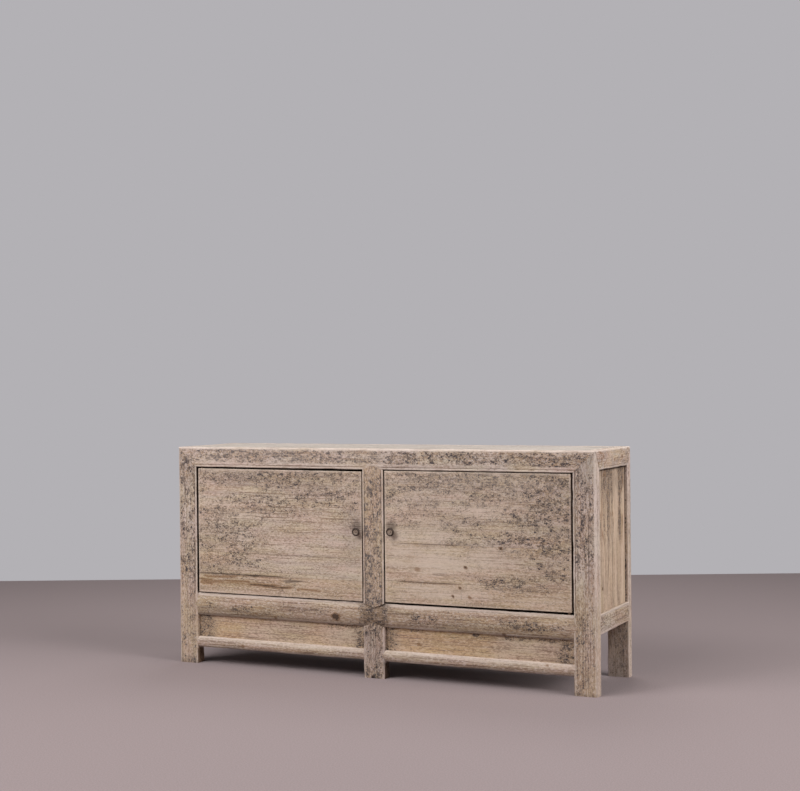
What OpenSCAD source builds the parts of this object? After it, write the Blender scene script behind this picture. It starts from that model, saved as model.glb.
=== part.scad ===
// A long two-door sideboard: a post-and-rail frame with a flush mitred top, plank doors on wooden pivots,
// a round-faced middle rail and recessed aprons.
// The front faces -Y, and the origin is the middle of the footprint.

/* [Overall size] */
// Length of the case, end to end
case_w = 1620; // [1400:10:1800]
// Depth of the case, without the knobs
case_d = 395; // [350:5:460]
// Height of the case
case_h = 800; // [760:5:880]

/* [Corner posts] */
// Width of the front posts, seen from the front
post_w = 80; // [72:1:95]
// Depth of the front posts
post_d = 44; // [40:1:56]
// Width of the rear posts, seen from the back
rear_post_w = 78; // [66:1:95]
// Depth of the rear posts
rear_post_d = 40; // [36:1:52]
// Rounding of the outer upright edges
edge_r = 9; // [4:1:14]
// Rounding of the outer top edges
top_edge_r = 5; // [2:0.5:8]

/* [Centre posts] */
// Width of the post between the doors and of the leg below it
centre_post_w = 82; // [70:1:95]
// Depth of the front centre leg
centre_leg_d = 40; // [38:1:44]
// Width of the rear centre post
rear_centre_w = 60; // [50:1:80]
// How far the stop strip reaches behind each door
stop_lap = 14; // [8:1:24]

/* [Heights at the front] */
// Open height from the ground to the bottom rails
leg_clear = 60; // [40:1:90]
// Height of the bottom rails
bottom_rail_h = 40; // [34:1:50]
// Height of the apron panels that show
apron_h = 78; // [60:1:100]
// Height of the middle rail
mid_rail_h = 84; // [76:1:96]
// Height of the top's front and rear rails
top_rail_h = 74; // [72:1:86]

/* [Rails] */
// Height of the end rails of the top
end_rail_h = 65; // [58:1:70]
// Thickness of the end rails of the top
end_rail_t = 44; // [38:1:56]
// How far the side and rear rails reach below the floor's top
side_rail_down = 62; // [56:1:80]
// Height of the side and rear rails
side_rail_h = 68; // [60:1:80]
// Thickness of the side and rear rails
side_rail_t = 34; // [32:1:38]
// Depth of the bottom rails
bottom_rail_d = 36; // [34:1:38]
// How far the middle of the middle rail swells forward
mid_swell = 8; // [4:0.5:9]
// How far the middle of a bottom rail swells forward
bottom_swell = 6; // [3:0.5:8]

/* [Joinery] */
// Thickness of the tenons
tenon_t = 12; // [8:1:14]
// Length of the tenons of the rails and posts
tenon_l = 24; // [16:1:28]
// Length of the tenons of bearers and battens
bearer_tenon_l = 10; // [6:1:12]
// Depth of the pointed shoulders, from the face inward
shoulder_t = 12; // [10:1:14]
// Length of the middle rail's pointed shoulders
mid_shoulder_l = 20; // [12:1:24]
// Length of the centre posts' pointed shoulders
post_shoulder_l = 16; // [10:1:22]
// Length of the bottom rails' pointed shoulders
bottom_shoulder_l = 10; // [6:1:14]
// Depth of the panel grooves
groove_d = 8; // [6:1:10]
// Room left for the boards to swell at the bottom of a groove
groove_float = 1; // [0.5:0.5:2]

/* [Panels] */
// Thickness of the side, back and apron boards
panel_t = 12; // [10:1:14]
// How far the side and back boards stand behind the frame's faces
panel_recess = 11; // [6:1:14]
// How far the aprons stand behind the frame's face
apron_recess = 16; // [12:1:20]

/* [Top] */
// Thickness of the top boards
top_board_t = 18; // [16:1:22]
// Thickness of the top boards' tongues
tongue_t = 8; // [6:1:10]
// Open joint between the top boards and the rails
top_joint = 0.6; // [0.3:0.1:1.5]
// Width of the battens under the top
batten_w = 40; // [34:1:50]
// Height of the battens under the top
batten_h = 30; // [24:1:36]
// Distance of the outer battens from the middle
batten_x = 500; // [400:10:580]

/* [Floor and shelf] */
// Thickness of the floor boards
floor_t = 16; // [14:1:20]
// How far the floor lies below the door openings
floor_down = 4; // [1:0.5:12]
// Thickness of the shelf boards
shelf_t = 18; // [14:1:22]
// Height of the shelf's top above the floor
shelf_up = 238; // [160:5:300]
// Width of the bearers under the floor and the shelf
bearer_w = 30; // [26:1:36]
// Height of the bearers under the floor and the shelf
bearer_h = 28; // [24:1:34]
// Distance of the outer floor bearers from the middle
floor_bearer_x = 600; // [400:10:640]
// Room round the floor and shelf boards
board_room = 2; // [1:0.5:3]

/* [Doors] */
// Thickness of the doors
door_t = 26; // [22:1:28]
// How far the doors stand behind the posts' faces
door_recess = 2.5; // [2:0.5:4]
// Gap between the left door and its post
left_hinge_gap = 4.5; // [4:0.5:7]
// Gap between the right door and its post
right_hinge_gap = 5; // [4:0.5:7]
// Room that a door's corner has as it turns past its post
turn_room = 1; // [0.6:0.1:1.5]
// Least rounding of a door's hinge edge
door_arris_r = 2; // [1:0.5:3]
// Gap between each door and the centre post
meeting_gap = 3; // [2:0.5:5]
// Gap above the left door
left_top_gap = 5; // [2:0.5:8]
// Gap below the left door
left_bottom_gap = 3; // [2:0.5:8]
// Gap above the right door
right_top_gap = 2.5; // [2:0.5:8]
// Gap below the right door
right_bottom_gap = 6; // [2:0.5:8]
// Height of the left door's lowest board
left_lower_board_h = 70; // [60:1:120]
// Height of the left door's middle board
left_middle_board_h = 79; // [60:1:140]
// Height of the right door's lowest board
right_lower_board_h = 75; // [60:1:120]
// Height of the right door's middle board
right_middle_board_h = 131; // [60:1:150]
// Width of the battens behind the doors
door_batten_w = 44; // [36:1:56]
// Thickness of the battens behind the doors
door_batten_t = 14; // [10:1:15]
// Distance from a door's hinge edge to the middle of its batten
hinge_batten_in = 76; // [60:1:120]
// Distance from a door's meeting edge to the middle of its batten
meeting_batten_in = 90; // [70:1:140]
// Distance from a door's top and bottom to its battens
door_batten_up = 26; // [16:1:40]
// Gap between the closed doors and the stop strip
stop_gap = 0.4; // [0.3:0.1:1]

/* [Pivots] */
// Diameter of the wooden pivot pins
pivot_pin_d = 10; // [8:0.5:10]
// Length of a pivot pin inside the door
pivot_hold_l = 30; // [20:1:40]
// How deep a lower pivot pin stands in the middle rail
lower_pivot_l = 10; // [8:1:14]
// How deep an upper pivot pin reaches into the top rail
upper_pivot_l = 13; // [11:1:18]
// Room above an upper pivot pin, so that the door lifts off
lift_room = 12; // [11:1:16]
// Clearance round and under the pivot pins
pivot_clearance = 0.3; // [0.2:0.05:0.5]

/* [Knobs] */
// Diameter of the knobs
knob_d = 30; // [26:1:36]
// How far the knobs stand out from the doors
knob_l = 18; // [15:1:24]
// Diameter of a knob's neck and stem
knob_stem_d = 12; // [10:1:14]
// Depth of the dish in a knob's face
knob_dish = 3; // [1.5:0.5:4]
// Diameter of the pin in the middle of a knob
knob_pin_d = 6; // [4:0.5:8]
// Distance from the left door's meeting edge to its knob
left_knob_in = 17; // [16:1:40]
// Distance from the right door's meeting edge to its knob
right_knob_in = 28; // [16:1:40]
// Height of the left knob above the door openings' lower edge
left_knob_up = 247; // [160:1:320]
// Height of the right knob above the door openings' lower edge
right_knob_up = 251; // [160:1:320]

/* [Hidden] */

// How far a cut runs past the face that it starts from, and how far a large one does
over = 1;
far = 12;

// Planes of the frame. The knobs stand out in front, so the case sits half that distance behind the middle.
half_w = case_w / 2;
knob_proud = knob_l - door_recess;
front_y = knob_proud / 2 - case_d / 2;
rear_y = knob_proud / 2 + case_d / 2;
inner_front_y = front_y + post_d;
inner_rear_y = rear_y - rear_post_d;
post_x = half_w - post_w;
rear_post_x = half_w - rear_post_w;
centre_x = centre_post_w / 2;
rear_centre_x = rear_centre_w / 2;
apron_z = leg_clear + bottom_rail_h;
mid_rail_z = apron_z + apron_h;
opening_z = mid_rail_z + mid_rail_h;
opening_top_z = case_h - top_rail_h;
end_rail_z = case_h - end_rail_h;
floor_z = opening_z - floor_down;
side_rail_z = floor_z - side_rail_down;
side_open_z = side_rail_z + side_rail_h;

// Planes of the doors, the floor and the shelf
door_y = front_y + door_recess;
door_back_y = door_y + door_t;
pivot_in = door_t / 2;
pivot_y = door_y + pivot_in;
stop_y = door_back_y + stop_gap;
// Places of the knobs: distance from the door's meeting edge, and height
left_knob_place = [left_knob_in, opening_z + left_knob_up];
right_knob_place = [right_knob_in, opening_z + right_knob_up];
floor_bearer_z = floor_z - floor_t - bearer_h;
shelf_z = floor_z + shelf_up;
shelf_bearer_z = shelf_z - shelf_t - bearer_h;
shelf_bearer_x = half_w - panel_recess - panel_t - bearer_w - board_room;
top_board_z = case_h - top_board_t;

// Boards in each side, one node each
side_boards = 3;

// Joinery sizes that only the joints themselves use
corner_tenon_in = 10;
corner_tenon_w = 22;
corner_tenon_up = 40;
tenon_inset = 6;
dovetail_h = 6;
dovetail_neck_w = 24;
dovetail_wide_w = 30;
tenon_shoulder = 14;

// Shape of a knob: its foot, neck, rounded rim, and the low head of its pin
knob_foot = 2;
knob_neck_l = 5;
knob_rim_w = 4;
knob_rim_back = 8;
knob_rim_front = 3;
knob_round = 1.5;
knob_pin_round = 1;
knob_pin_down = 0.5;

// Colours of the woods
frame_colour = [0.62, 0.54, 0.46];
door_colour = [0.66, 0.57, 0.47];
panel_colour = [0.70, 0.60, 0.47];
inner_colour = [0.55, 0.43, 0.30];
knob_colour = [0.42, 0.34, 0.28];

// Repeats a right-hand piece on the left
module on_left() {
    mirror([1, 0, 0]) children();
}

// A box from its lowest corner to its highest
module span_box(low, high) {
    translate(low) cube(high - low);
}

// Extrudes an outline drawn in X and Z along Y, from y0 to y1
module along_y(y0, y1) {
    translate([0, y1, 0]) rotate([90, 0, 0]) linear_extrude(y1 - y0) children();
}

// Extrudes an outline drawn in Y and Z along X, from x0 to x1
module along_x(x0, x1) {
    translate([x0, 0, 0]) rotate([90, 0, 90]) linear_extrude(x1 - x0) children();
}

// A rectangle with chosen corners rounded
module rounded_box_2d(low, high, r, corners) {
    difference() {
        translate(low) square(high - low);
        for (c = corners) {
            corner = [c[0] > 0 ? high[0] : low[0], c[1] > 0 ? high[1] : low[1]];
            difference() {
                translate(corner - [r, r]) square(2 * r);
                translate(corner - [c[0] * r, c[1] * r]) circle(r = r, $fn = 64);
                translate(corner - [c[0] > 0 ? 2 * r : r, c[1] > 0 ? 3 * r : -r]) square([3 * r, 2 * r]);
                translate(corner - [c[0] > 0 ? 3 * r : -r, c[1] > 0 ? 2 * r : r]) square([2 * r, 3 * r]);
            }
        }
    }
}

// The rounded outside of the whole case
module envelope() {
    intersection() {
        linear_extrude(case_h)
            rounded_box_2d([-half_w, front_y], [half_w, rear_y], edge_r, [[-1, -1], [1, -1], [-1, 1], [1, 1]]);
        along_y(front_y, rear_y)
            rounded_box_2d([-half_w, 0], [half_w, case_h], top_edge_r, [[-1, 1], [1, 1]]);
        along_x(-half_w, half_w)
            rounded_box_2d([front_y, 0], [rear_y, case_h], top_edge_r, [[-1, 1], [1, 1]]);
    }
}

// Puts a shape at the right-hand top corner, with X and Y running inward and Z down from the top
module at_corner(rear) {
    translate([half_w, rear ? rear_y : front_y, case_h])
        mirror([1, 0, 0])
            mirror([0, rear ? 1 : 0, 0])
                children();
}

// What a mitred top corner takes off the post: everything above its two sloping joint faces
module above_post(w, d, face_h) {
    translate([0, -over, 0]) along_y(0, d + 2 * over)
        polygon([[-over, over * face_h / w], [w + over, -(w + over) * face_h / w], [w + over, far],
            [-over, far]]);
    along_x(-over, w + over)
        polygon([[-over, over * end_rail_h / d], [d + over, -(d + over) * end_rail_h / d], [d + over, far],
            [-over, far]]);
}

// The part of a mitred top corner that belongs to the post
module post_head(w, d, face_h) {
    intersection() {
        translate([0, -over, 0]) along_y(0, d + 3 * over)
            polygon([[-over, over * face_h / w], [w + over, -(w + over) * face_h / w],
                [-over, -(w + over) * face_h / w]]);
        along_x(-over, w + over)
            polygon([[-over, over * end_rail_h / d], [d + over, -(d + over) * end_rail_h / d],
                [d + over, -face_h - far], [-over, -face_h - far]]);
    }
}

// The two tenons on top of a corner post, one into each rail
module corner_tenons(d) {
    top = corner_tenon_up - end_rail_h;
    span_box([end_rail_t + tenon_inset, tenon_shoulder, -end_rail_h],
        [end_rail_t + corner_tenon_w, tenon_shoulder + tenon_t, top]);
    span_box([corner_tenon_in, d - tenon_inset - tenon_t, -end_rail_h],
        [corner_tenon_in + tenon_t, d - tenon_inset, top]);
}

// The end rail's share of the top's mitre, seen from above
module end_rail_mitre(d) {
    translate([0, 0, -end_rail_h]) linear_extrude(end_rail_h + over)
        polygon([[-over, -over * d / end_rail_t], [end_rail_t, d], [end_rail_t, d + over], [-over, d + over]]);
}

// The long rail's share of the top's mitre, seen from above
module long_rail_mitre(d) {
    translate([0, 0, -end_rail_h - over]) linear_extrude(end_rail_h + 2 * over)
        polygon([[-over, -over * d / end_rail_t], [end_rail_t + over, (end_rail_t + over) * d / end_rail_t],
            [end_rail_t + over, -far], [-over, -far]]);
}

// Outline of a rail whose face swells forward in an arc, drawn in Y and Z
module swelled_outline(z, h, d, swell) {
    arc_r = (h * h / 4 + swell * swell) / (2 * swell);
    intersection() {
        translate([front_y, z]) square([d, h]);
        union() {
            translate([front_y + arc_r, z + h / 2]) circle(r = arc_r, $fn = 180);
            translate([front_y + arc_r, z]) square([arc_r, h]);
        }
    }
}

// A swelled rail from x0 to x1, with pointed shoulders at its face and a tenon at each end
module swelled_rail(x0, x1, z, h, d, swell, point_l) {
    tenon_y = front_y + shoulder_t;
    intersection() {
        along_x(x0 - point_l, x1 + point_l) swelled_outline(z, h, d, swell);
        along_y(front_y, tenon_y)
            polygon([[x0 - point_l, z + h / 2], [x0, z], [x1, z], [x1 + point_l, z + h / 2], [x1, z + h],
                [x0, z + h]]);
    }
    intersection() {
        along_x(x0, x1) swelled_outline(z, h, d, swell);
        span_box([x0, tenon_y, z], [x1, front_y + d, z + h]);
    }
    span_box([x0 - tenon_l, tenon_y, z + h / 4], [x1 + tenon_l, tenon_y + tenon_t, z + 3 * h / 4]);
}

// An upright with a pointed shoulder and a tenon at its top, and the same at its foot if it has one
module pointed_upright(z0, z1, d, foot) {
    tenon_y = front_y + shoulder_t;
    low_z = foot ? z0 - tenon_l : z1;
    span_box([-centre_x, front_y, z0], [centre_x, front_y + d, z1]);
    along_y(front_y, tenon_y) polygon([[-centre_x, z1], [centre_x, z1], [0, z1 + post_shoulder_l]]);
    if (foot) {
        along_y(front_y, tenon_y) polygon([[-centre_x, z0], [centre_x, z0], [0, z0 - post_shoulder_l]]);
    }
    span_box([tenon_shoulder - centre_x, tenon_y, low_z],
        [centre_x - tenon_shoulder, tenon_y + tenon_t, z1 + tenon_l]);
}

// A slab for boards that sit in grooves, grown on every edge by reach
module side_slab(reach) {
    x = half_w - panel_recess;
    span_box([x - panel_t, inner_front_y - reach, side_open_z - reach],
        [x, inner_rear_y + reach, end_rail_z + reach]);
}

module back_slab(reach) {
    y = rear_y - panel_recess;
    span_box([rear_centre_x - reach, y - panel_t, side_open_z - reach],
        [rear_post_x + reach, y, opening_top_z + reach]);
}

module apron_slab(reach) {
    y = front_y + apron_recess;
    span_box([centre_x - reach, y, apron_z - reach], [post_x + reach, y + panel_t, mid_rail_z + reach]);
}

module top_tongue_slab(reach) {
    x = half_w - end_rail_t;
    span_box([-x - reach, inner_front_y - reach, top_board_z],
        [x + reach, inner_rear_y + reach, top_board_z + tongue_t]);
}

// A batten under the top, with a dovetail that slides into the boards and a tenon at each end
module top_batten(x) {
    low_z = top_board_z - batten_h;
    translate([x, 0, 0]) {
        span_box([-batten_w / 2, inner_front_y, low_z], [batten_w / 2, inner_rear_y, top_board_z]);
        along_y(inner_front_y + top_joint, inner_rear_y - top_joint)
            polygon([[-dovetail_neck_w / 2, top_board_z], [dovetail_neck_w / 2, top_board_z],
                [dovetail_wide_w / 2, top_board_z + dovetail_h],
                [-dovetail_wide_w / 2, top_board_z + dovetail_h]]);
        span_box([-tenon_t, inner_front_y - bearer_tenon_l, low_z + tenon_inset],
            [tenon_t, inner_rear_y + bearer_tenon_l, top_board_z - tenon_inset]);
    }
}

module top_battens() {
    for (x = [-batten_x, 0, batten_x]) {
        top_batten(x);
    }
}

// A bearer from front to back, with a tenon at each end
module bearer(x, z, y0, y1) {
    span_box([x - bearer_w / 2, y0, z], [x + bearer_w / 2, y1, z + bearer_h]);
    span_box([x - tenon_t / 2, y0 - bearer_tenon_l, z + tenon_inset],
        [x + tenon_t / 2, y1 + bearer_tenon_l, z + bearer_h - tenon_inset]);
}

module floor_bearer_set() {
    bearer(0, floor_bearer_z, inner_front_y, inner_rear_y);
    for (x = [-floor_bearer_x, floor_bearer_x]) {
        bearer(x, floor_bearer_z, inner_front_y, rear_y - side_rail_t);
    }
}

module shelf_side_bearer() {
    bearer(shelf_bearer_x + bearer_w / 2, shelf_bearer_z, inner_front_y, inner_rear_y);
}

module shelf_middle_bearer() {
    bearer(0, shelf_bearer_z, inner_front_y, inner_rear_y);
}

// The side rail and the rear rail on the right, with their tenons
module side_rail_solid() {
    tenon_x = half_w - side_rail_t + tenon_inset;
    span_box([half_w - side_rail_t, inner_front_y, side_rail_z], [half_w, inner_rear_y, side_open_z]);
    span_box([tenon_x, inner_front_y - tenon_l, side_rail_z + tenon_shoulder],
        [tenon_x + tenon_t, inner_rear_y + tenon_l, side_open_z - tenon_shoulder]);
}

module rear_rail_solid() {
    span_box([rear_centre_x, rear_y - side_rail_t, side_rail_z], [rear_post_x, rear_y, side_open_z]);
    span_box([rear_centre_x - tenon_l, rear_y - panel_recess - tenon_t, side_rail_z + tenon_shoulder],
        [rear_post_x + tenon_l, rear_y - panel_recess, side_open_z - tenon_shoulder]);
}

module mid_rail_solid() {
    swelled_rail(-post_x, post_x, mid_rail_z, mid_rail_h, post_d, mid_swell, mid_shoulder_l);
}

module bottom_rail_solid() {
    swelled_rail(centre_x, post_x, leg_clear, bottom_rail_h, bottom_rail_d, bottom_swell, bottom_shoulder_l);
}

module centre_post_solid() {
    pointed_upright(opening_z, opening_top_z, stop_y - front_y, true);
}

module centre_leg_solid() {
    pointed_upright(0, mid_rail_z, centre_leg_d, false);
}

// The rear centre post's tenon and the post itself
module rear_centre_solid() {
    span_box([-rear_centre_x, inner_rear_y, 0], [rear_centre_x, rear_y, opening_top_z]);
    span_box([tenon_shoulder - rear_centre_x, inner_rear_y + tenon_shoulder, 0],
        [rear_centre_x - tenon_shoulder, inner_rear_y + tenon_shoulder + tenon_t, opening_top_z + tenon_l]);
}

// Blind sockets for the doors' pivot pins, at the right-hand door's place
module pivot_sockets(hinge_gap) {
    r = pivot_pin_d / 2 + pivot_clearance;
    depth_low = lower_pivot_l + pivot_clearance;
    depth_high = upper_pivot_l + lift_room;
    translate([post_x - hinge_gap - pivot_in, pivot_y, 0]) {
        translate([0, 0, opening_z - depth_low]) cylinder(r = r, h = depth_low + over, $fn = 48);
        translate([0, 0, opening_top_z - over]) cylinder(r = r, h = depth_high + over, $fn = 48);
    }
}

module all_pivot_sockets() {
    pivot_sockets(right_hinge_gap);
    on_left() pivot_sockets(left_hinge_gap);
}

// Posts

module front_post() {
    color(frame_colour)
        difference() {
            intersection() {
                union() {
                    difference() {
                        span_box([post_x, front_y, 0], [half_w, inner_front_y, case_h]);
                        at_corner(false) above_post(post_w, post_d, top_rail_h);
                    }
                    at_corner(false) corner_tenons(post_d);
                }
                envelope();
            }
            mid_rail_solid();
            bottom_rail_solid();
            apron_slab(groove_d);
            side_rail_solid();
            side_slab(groove_d);
            shelf_side_bearer();
        }
}

module rear_post() {
    color(frame_colour)
        difference() {
            intersection() {
                union() {
                    difference() {
                        span_box([rear_post_x, inner_rear_y, 0], [half_w, rear_y, case_h]);
                        at_corner(true) above_post(rear_post_w, rear_post_d, top_rail_h);
                    }
                    at_corner(true) corner_tenons(rear_post_d);
                }
                envelope();
            }
            side_rail_solid();
            rear_rail_solid();
            side_slab(groove_d);
            back_slab(groove_d);
            shelf_side_bearer();
        }
}

module front_left_post() {
    on_left() front_post();
}

module front_right_post() {
    front_post();
}

module rear_left_post() {
    on_left() rear_post();
}

module rear_right_post() {
    rear_post();
}

module front_centre_post() {
    color(frame_colour) centre_post_solid();
}

module front_centre_leg() {
    color(frame_colour)
        difference() {
            centre_leg_solid();
            bottom_rail_solid();
            on_left() bottom_rail_solid();
            apron_slab(groove_d);
            on_left() apron_slab(groove_d);
        }
}

module rear_centre_post() {
    color(inner_colour)
        difference() {
            rear_centre_solid();
            rear_rail_solid();
            on_left() rear_rail_solid();
            back_slab(groove_d);
            on_left() back_slab(groove_d);
            floor_bearer_set();
            shelf_middle_bearer();
        }
}

module door_stop() {
    x = centre_x + stop_lap;
    color(inner_colour)
        difference() {
            span_box([-x, stop_y, opening_z], [x, inner_front_y, opening_top_z]);
            shelf_middle_bearer();
        }
}

// Top

module top_long_rail(rear) {
    w = rear ? rear_post_w : post_w;
    d = rear ? rear_post_d : post_d;
    y = rear ? inner_rear_y : front_y;
    difference() {
        intersection() {
            span_box([-half_w, y, opening_top_z], [half_w, y + d, case_h]);
            envelope();
        }
        for (side = [0, 1]) {
            mirror([side, 0, 0]) at_corner(rear) {
                post_head(w, d, top_rail_h);
                end_rail_mitre(d);
                corner_tenons(d);
            }
        }
        top_tongue_slab(groove_d);
        top_battens();
    }
}

module top_front_rail() {
    color(frame_colour)
        difference() {
            top_long_rail(false);
            centre_post_solid();
            all_pivot_sockets();
        }
}

module top_rear_rail() {
    color(frame_colour)
        difference() {
            top_long_rail(true);
            rear_centre_solid();
            back_slab(groove_d);
            on_left() back_slab(groove_d);
        }
}

module top_end_rail() {
    color(frame_colour)
        difference() {
            intersection() {
                span_box([half_w - end_rail_t, front_y, end_rail_z], [half_w, rear_y, case_h]);
                envelope();
            }
            at_corner(false) {
                post_head(post_w, post_d, top_rail_h);
                long_rail_mitre(post_d);
                corner_tenons(post_d);
            }
            at_corner(true) {
                post_head(rear_post_w, rear_post_d, top_rail_h);
                long_rail_mitre(rear_post_d);
                corner_tenons(rear_post_d);
            }
            side_slab(groove_d);
            top_tongue_slab(groove_d);
        }
}

module top_left_rail() {
    on_left() top_end_rail();
}

module top_right_rail() {
    top_end_rail();
}

// One of the two top boards: its field, and the tongues that reach into the rails
module top_board(y0, y1) {
    x = half_w - end_rail_t - top_joint;
    color(panel_colour)
        difference() {
            union() {
                span_box([-x, max(y0, inner_front_y + top_joint), top_board_z],
                    [x, min(y1, inner_rear_y - top_joint), case_h]);
                intersection() {
                    top_tongue_slab(groove_d - groove_float);
                    span_box([-half_w, y0, 0], [half_w, y1, case_h]);
                }
            }
            top_battens();
        }
}

module top_front_board() {
    top_board(front_y, (inner_front_y + inner_rear_y) / 2);
}

module top_rear_board() {
    top_board((inner_front_y + inner_rear_y) / 2, rear_y);
}

module top_left_batten() {
    color(inner_colour) top_batten(-batten_x);
}

module top_centre_batten() {
    color(inner_colour) top_batten(0);
}

module top_right_batten() {
    color(inner_colour) top_batten(batten_x);
}

// Rails and aprons

module mid_rail() {
    color(frame_colour)
        difference() {
            mid_rail_solid();
            centre_post_solid();
            centre_leg_solid();
            apron_slab(groove_d);
            on_left() apron_slab(groove_d);
            floor_bearer_set();
            all_pivot_sockets();
        }
}

module bottom_right_rail() {
    color(frame_colour)
        difference() {
            bottom_rail_solid();
            apron_slab(groove_d);
        }
}

module bottom_left_rail() {
    on_left() bottom_right_rail();
}

module right_apron_panel() {
    color(panel_colour) apron_slab(groove_d - groove_float);
}

module left_apron_panel() {
    on_left() right_apron_panel();
}

module right_side_rail() {
    color(frame_colour)
        difference() {
            side_rail_solid();
            side_slab(groove_d);
        }
}

module left_side_rail() {
    on_left() right_side_rail();
}

module rear_right_rail() {
    color(inner_colour)
        difference() {
            rear_rail_solid();
            back_slab(groove_d);
            floor_bearer_set();
        }
}

module rear_left_rail() {
    on_left() rear_right_rail();
}

// Side and back boards

module side_board(index) {
    reach = groove_d - groove_float;
    y0 = inner_front_y - reach;
    board_w = (inner_rear_y + reach - y0) / side_boards;
    color(panel_colour)
        intersection() {
            side_slab(reach);
            span_box([0, y0 + index * board_w, 0], [half_w, y0 + (index + 1) * board_w, case_h]);
        }
}

module right_side_front_board() {
    side_board(0);
}

module right_side_middle_board() {
    side_board(1);
}

module right_side_rear_board() {
    side_board(2);
}

module left_side_front_board() {
    on_left() side_board(0);
}

module left_side_middle_board() {
    on_left() side_board(1);
}

module left_side_rear_board() {
    on_left() side_board(2);
}

// One of the two wide boards of each half of the back
module back_board(upper) {
    middle_z = (side_open_z + opening_top_z) / 2;
    color(inner_colour)
        intersection() {
            back_slab(groove_d - groove_float);
            span_box([0, 0, upper ? middle_z : 0], [half_w, rear_y, upper ? case_h : middle_z - top_joint]);
        }
}

module back_right_upper_board() {
    back_board(true);
}

module back_right_lower_board() {
    back_board(false);
}

module back_left_upper_board() {
    on_left() back_board(true);
}

module back_left_lower_board() {
    on_left() back_board(false);
}

// Floor and shelf

// A board that lies lengthwise in the front or rear half of the case
module lengthwise_board(x, z, t, rear) {
    middle_y = (inner_front_y + inner_rear_y) / 2;
    color(inner_colour)
        span_box([-x, rear ? middle_y : inner_front_y + board_room, z - t],
            [x, rear ? inner_rear_y - board_room : middle_y - top_joint, z]);
}

module floor_front_board() {
    lengthwise_board(half_w - side_rail_t - board_room, floor_z, floor_t, false);
}

module floor_rear_board() {
    lengthwise_board(half_w - side_rail_t - board_room, floor_z, floor_t, true);
}

module floor_bearers() {
    color(inner_colour) floor_bearer_set();
}

module shelf_front_board() {
    lengthwise_board(half_w - panel_recess - panel_t - board_room, shelf_z, shelf_t, false);
}

module shelf_rear_board() {
    lengthwise_board(half_w - panel_recess - panel_t - board_room, shelf_z, shelf_t, true);
}

module shelf_right_bearer() {
    color(inner_colour) shelf_side_bearer();
}

module shelf_left_bearer() {
    on_left() shelf_right_bearer();
}

module shelf_centre_bearer() {
    color(inner_colour) shelf_middle_bearer();
}

// Doors, all drawn on the right

// The edges of a door that its gaps leave
function door_low_z(bottom_gap) = opening_z + bottom_gap;
function door_high_z(top_gap) = opening_top_z - top_gap;
function door_hinge_x(hinge_gap) = post_x - hinge_gap;
door_meeting_x = centre_x + meeting_gap;

// A door batten with the dovetail that holds the boards flat
module door_batten(x, z0, z1) {
    half_batten = door_batten_w / 2;
    neck = dovetail_neck_w / 2;
    wide = dovetail_wide_w / 2;
    translate([x, 0, z0]) linear_extrude(z1 - z0)
        polygon([[-half_batten, door_back_y + door_batten_t], [-half_batten, door_back_y], [-neck, door_back_y],
            [-wide, door_back_y - dovetail_h], [wide, door_back_y - dovetail_h], [neck, door_back_y],
            [half_batten, door_back_y], [half_batten, door_back_y + door_batten_t]]);
}

module hinge_batten(hinge_gap, bottom_gap, top_gap) {
    door_batten(door_hinge_x(hinge_gap) - hinge_batten_in, door_low_z(bottom_gap) + door_batten_up,
        door_high_z(top_gap) - door_batten_up);
}

module meeting_batten(bottom_gap, top_gap) {
    door_batten(door_meeting_x + meeting_batten_in, door_low_z(bottom_gap) + door_batten_up,
        door_high_z(top_gap) - door_batten_up);
}

module pivot_pins(hinge_gap, bottom_gap, top_gap) {
    low_z = door_low_z(bottom_gap);
    high_z = door_high_z(top_gap);
    translate([door_hinge_x(hinge_gap) - pivot_in, pivot_y, 0]) {
        translate([0, 0, opening_z - lower_pivot_l])
            cylinder(d = pivot_pin_d, h = low_z + pivot_hold_l - opening_z + lower_pivot_l, $fn = 48);
        translate([0, 0, high_z - pivot_hold_l])
            cylinder(d = pivot_pin_d, h = opening_top_z + upper_pivot_l - high_z + pivot_hold_l, $fn = 48);
    }
}

module knob_stem_bore(place) {
    translate([door_meeting_x + place[0], door_back_y + over, place[1]]) rotate([90, 0, 0])
        cylinder(d = knob_stem_d, h = door_t + 2 * over, $fn = 48);
}

// The rounding of a door's hinge edge that lets its corner turn past the post with some room
function hinge_edge_r(hinge_gap) = min(pivot_in, max(door_arris_r,
    pivot_in - (hinge_gap - turn_room) / (sqrt(2) - 1)));

// A door board from z0 to z1
module door_board(z0, z1, hinge_gap, bottom_gap, top_gap, knob_place) {
    color(door_colour)
        difference() {
            translate([0, 0, z0]) linear_extrude(z1 - z0)
                rounded_box_2d([door_meeting_x, door_y], [door_hinge_x(hinge_gap), door_back_y],
                    hinge_edge_r(hinge_gap), [[1, -1], [1, 1]]);
            hinge_batten(hinge_gap, bottom_gap, top_gap);
            meeting_batten(bottom_gap, top_gap);
            pivot_pins(hinge_gap, bottom_gap, top_gap);
            knob_stem_bore(knob_place);
        }
}

// A turned knob with a dished face and a stem through the door
module knob_solid(place) {
    r = knob_d / 2;
    stem_r = knob_stem_d / 2;
    pin_r = knob_pin_d / 2;
    translate([door_meeting_x + place[0], door_y, place[1]]) rotate([90, 0, 0])
        rotate_extrude($fn = 96)
            polygon([[pin_r, -door_t], [stem_r, -door_t], [stem_r, 0], [stem_r + knob_foot, 0],
                [stem_r, knob_neck_l], [r - knob_round, knob_l - knob_rim_back],
                [r, knob_l - knob_rim_back + knob_round], [r, knob_l - knob_rim_front],
                [r - knob_round, knob_l], [r - knob_rim_w, knob_l],
                [pin_r + knob_foot, knob_l - knob_dish], [pin_r, knob_l - knob_dish]]);
}

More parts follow.
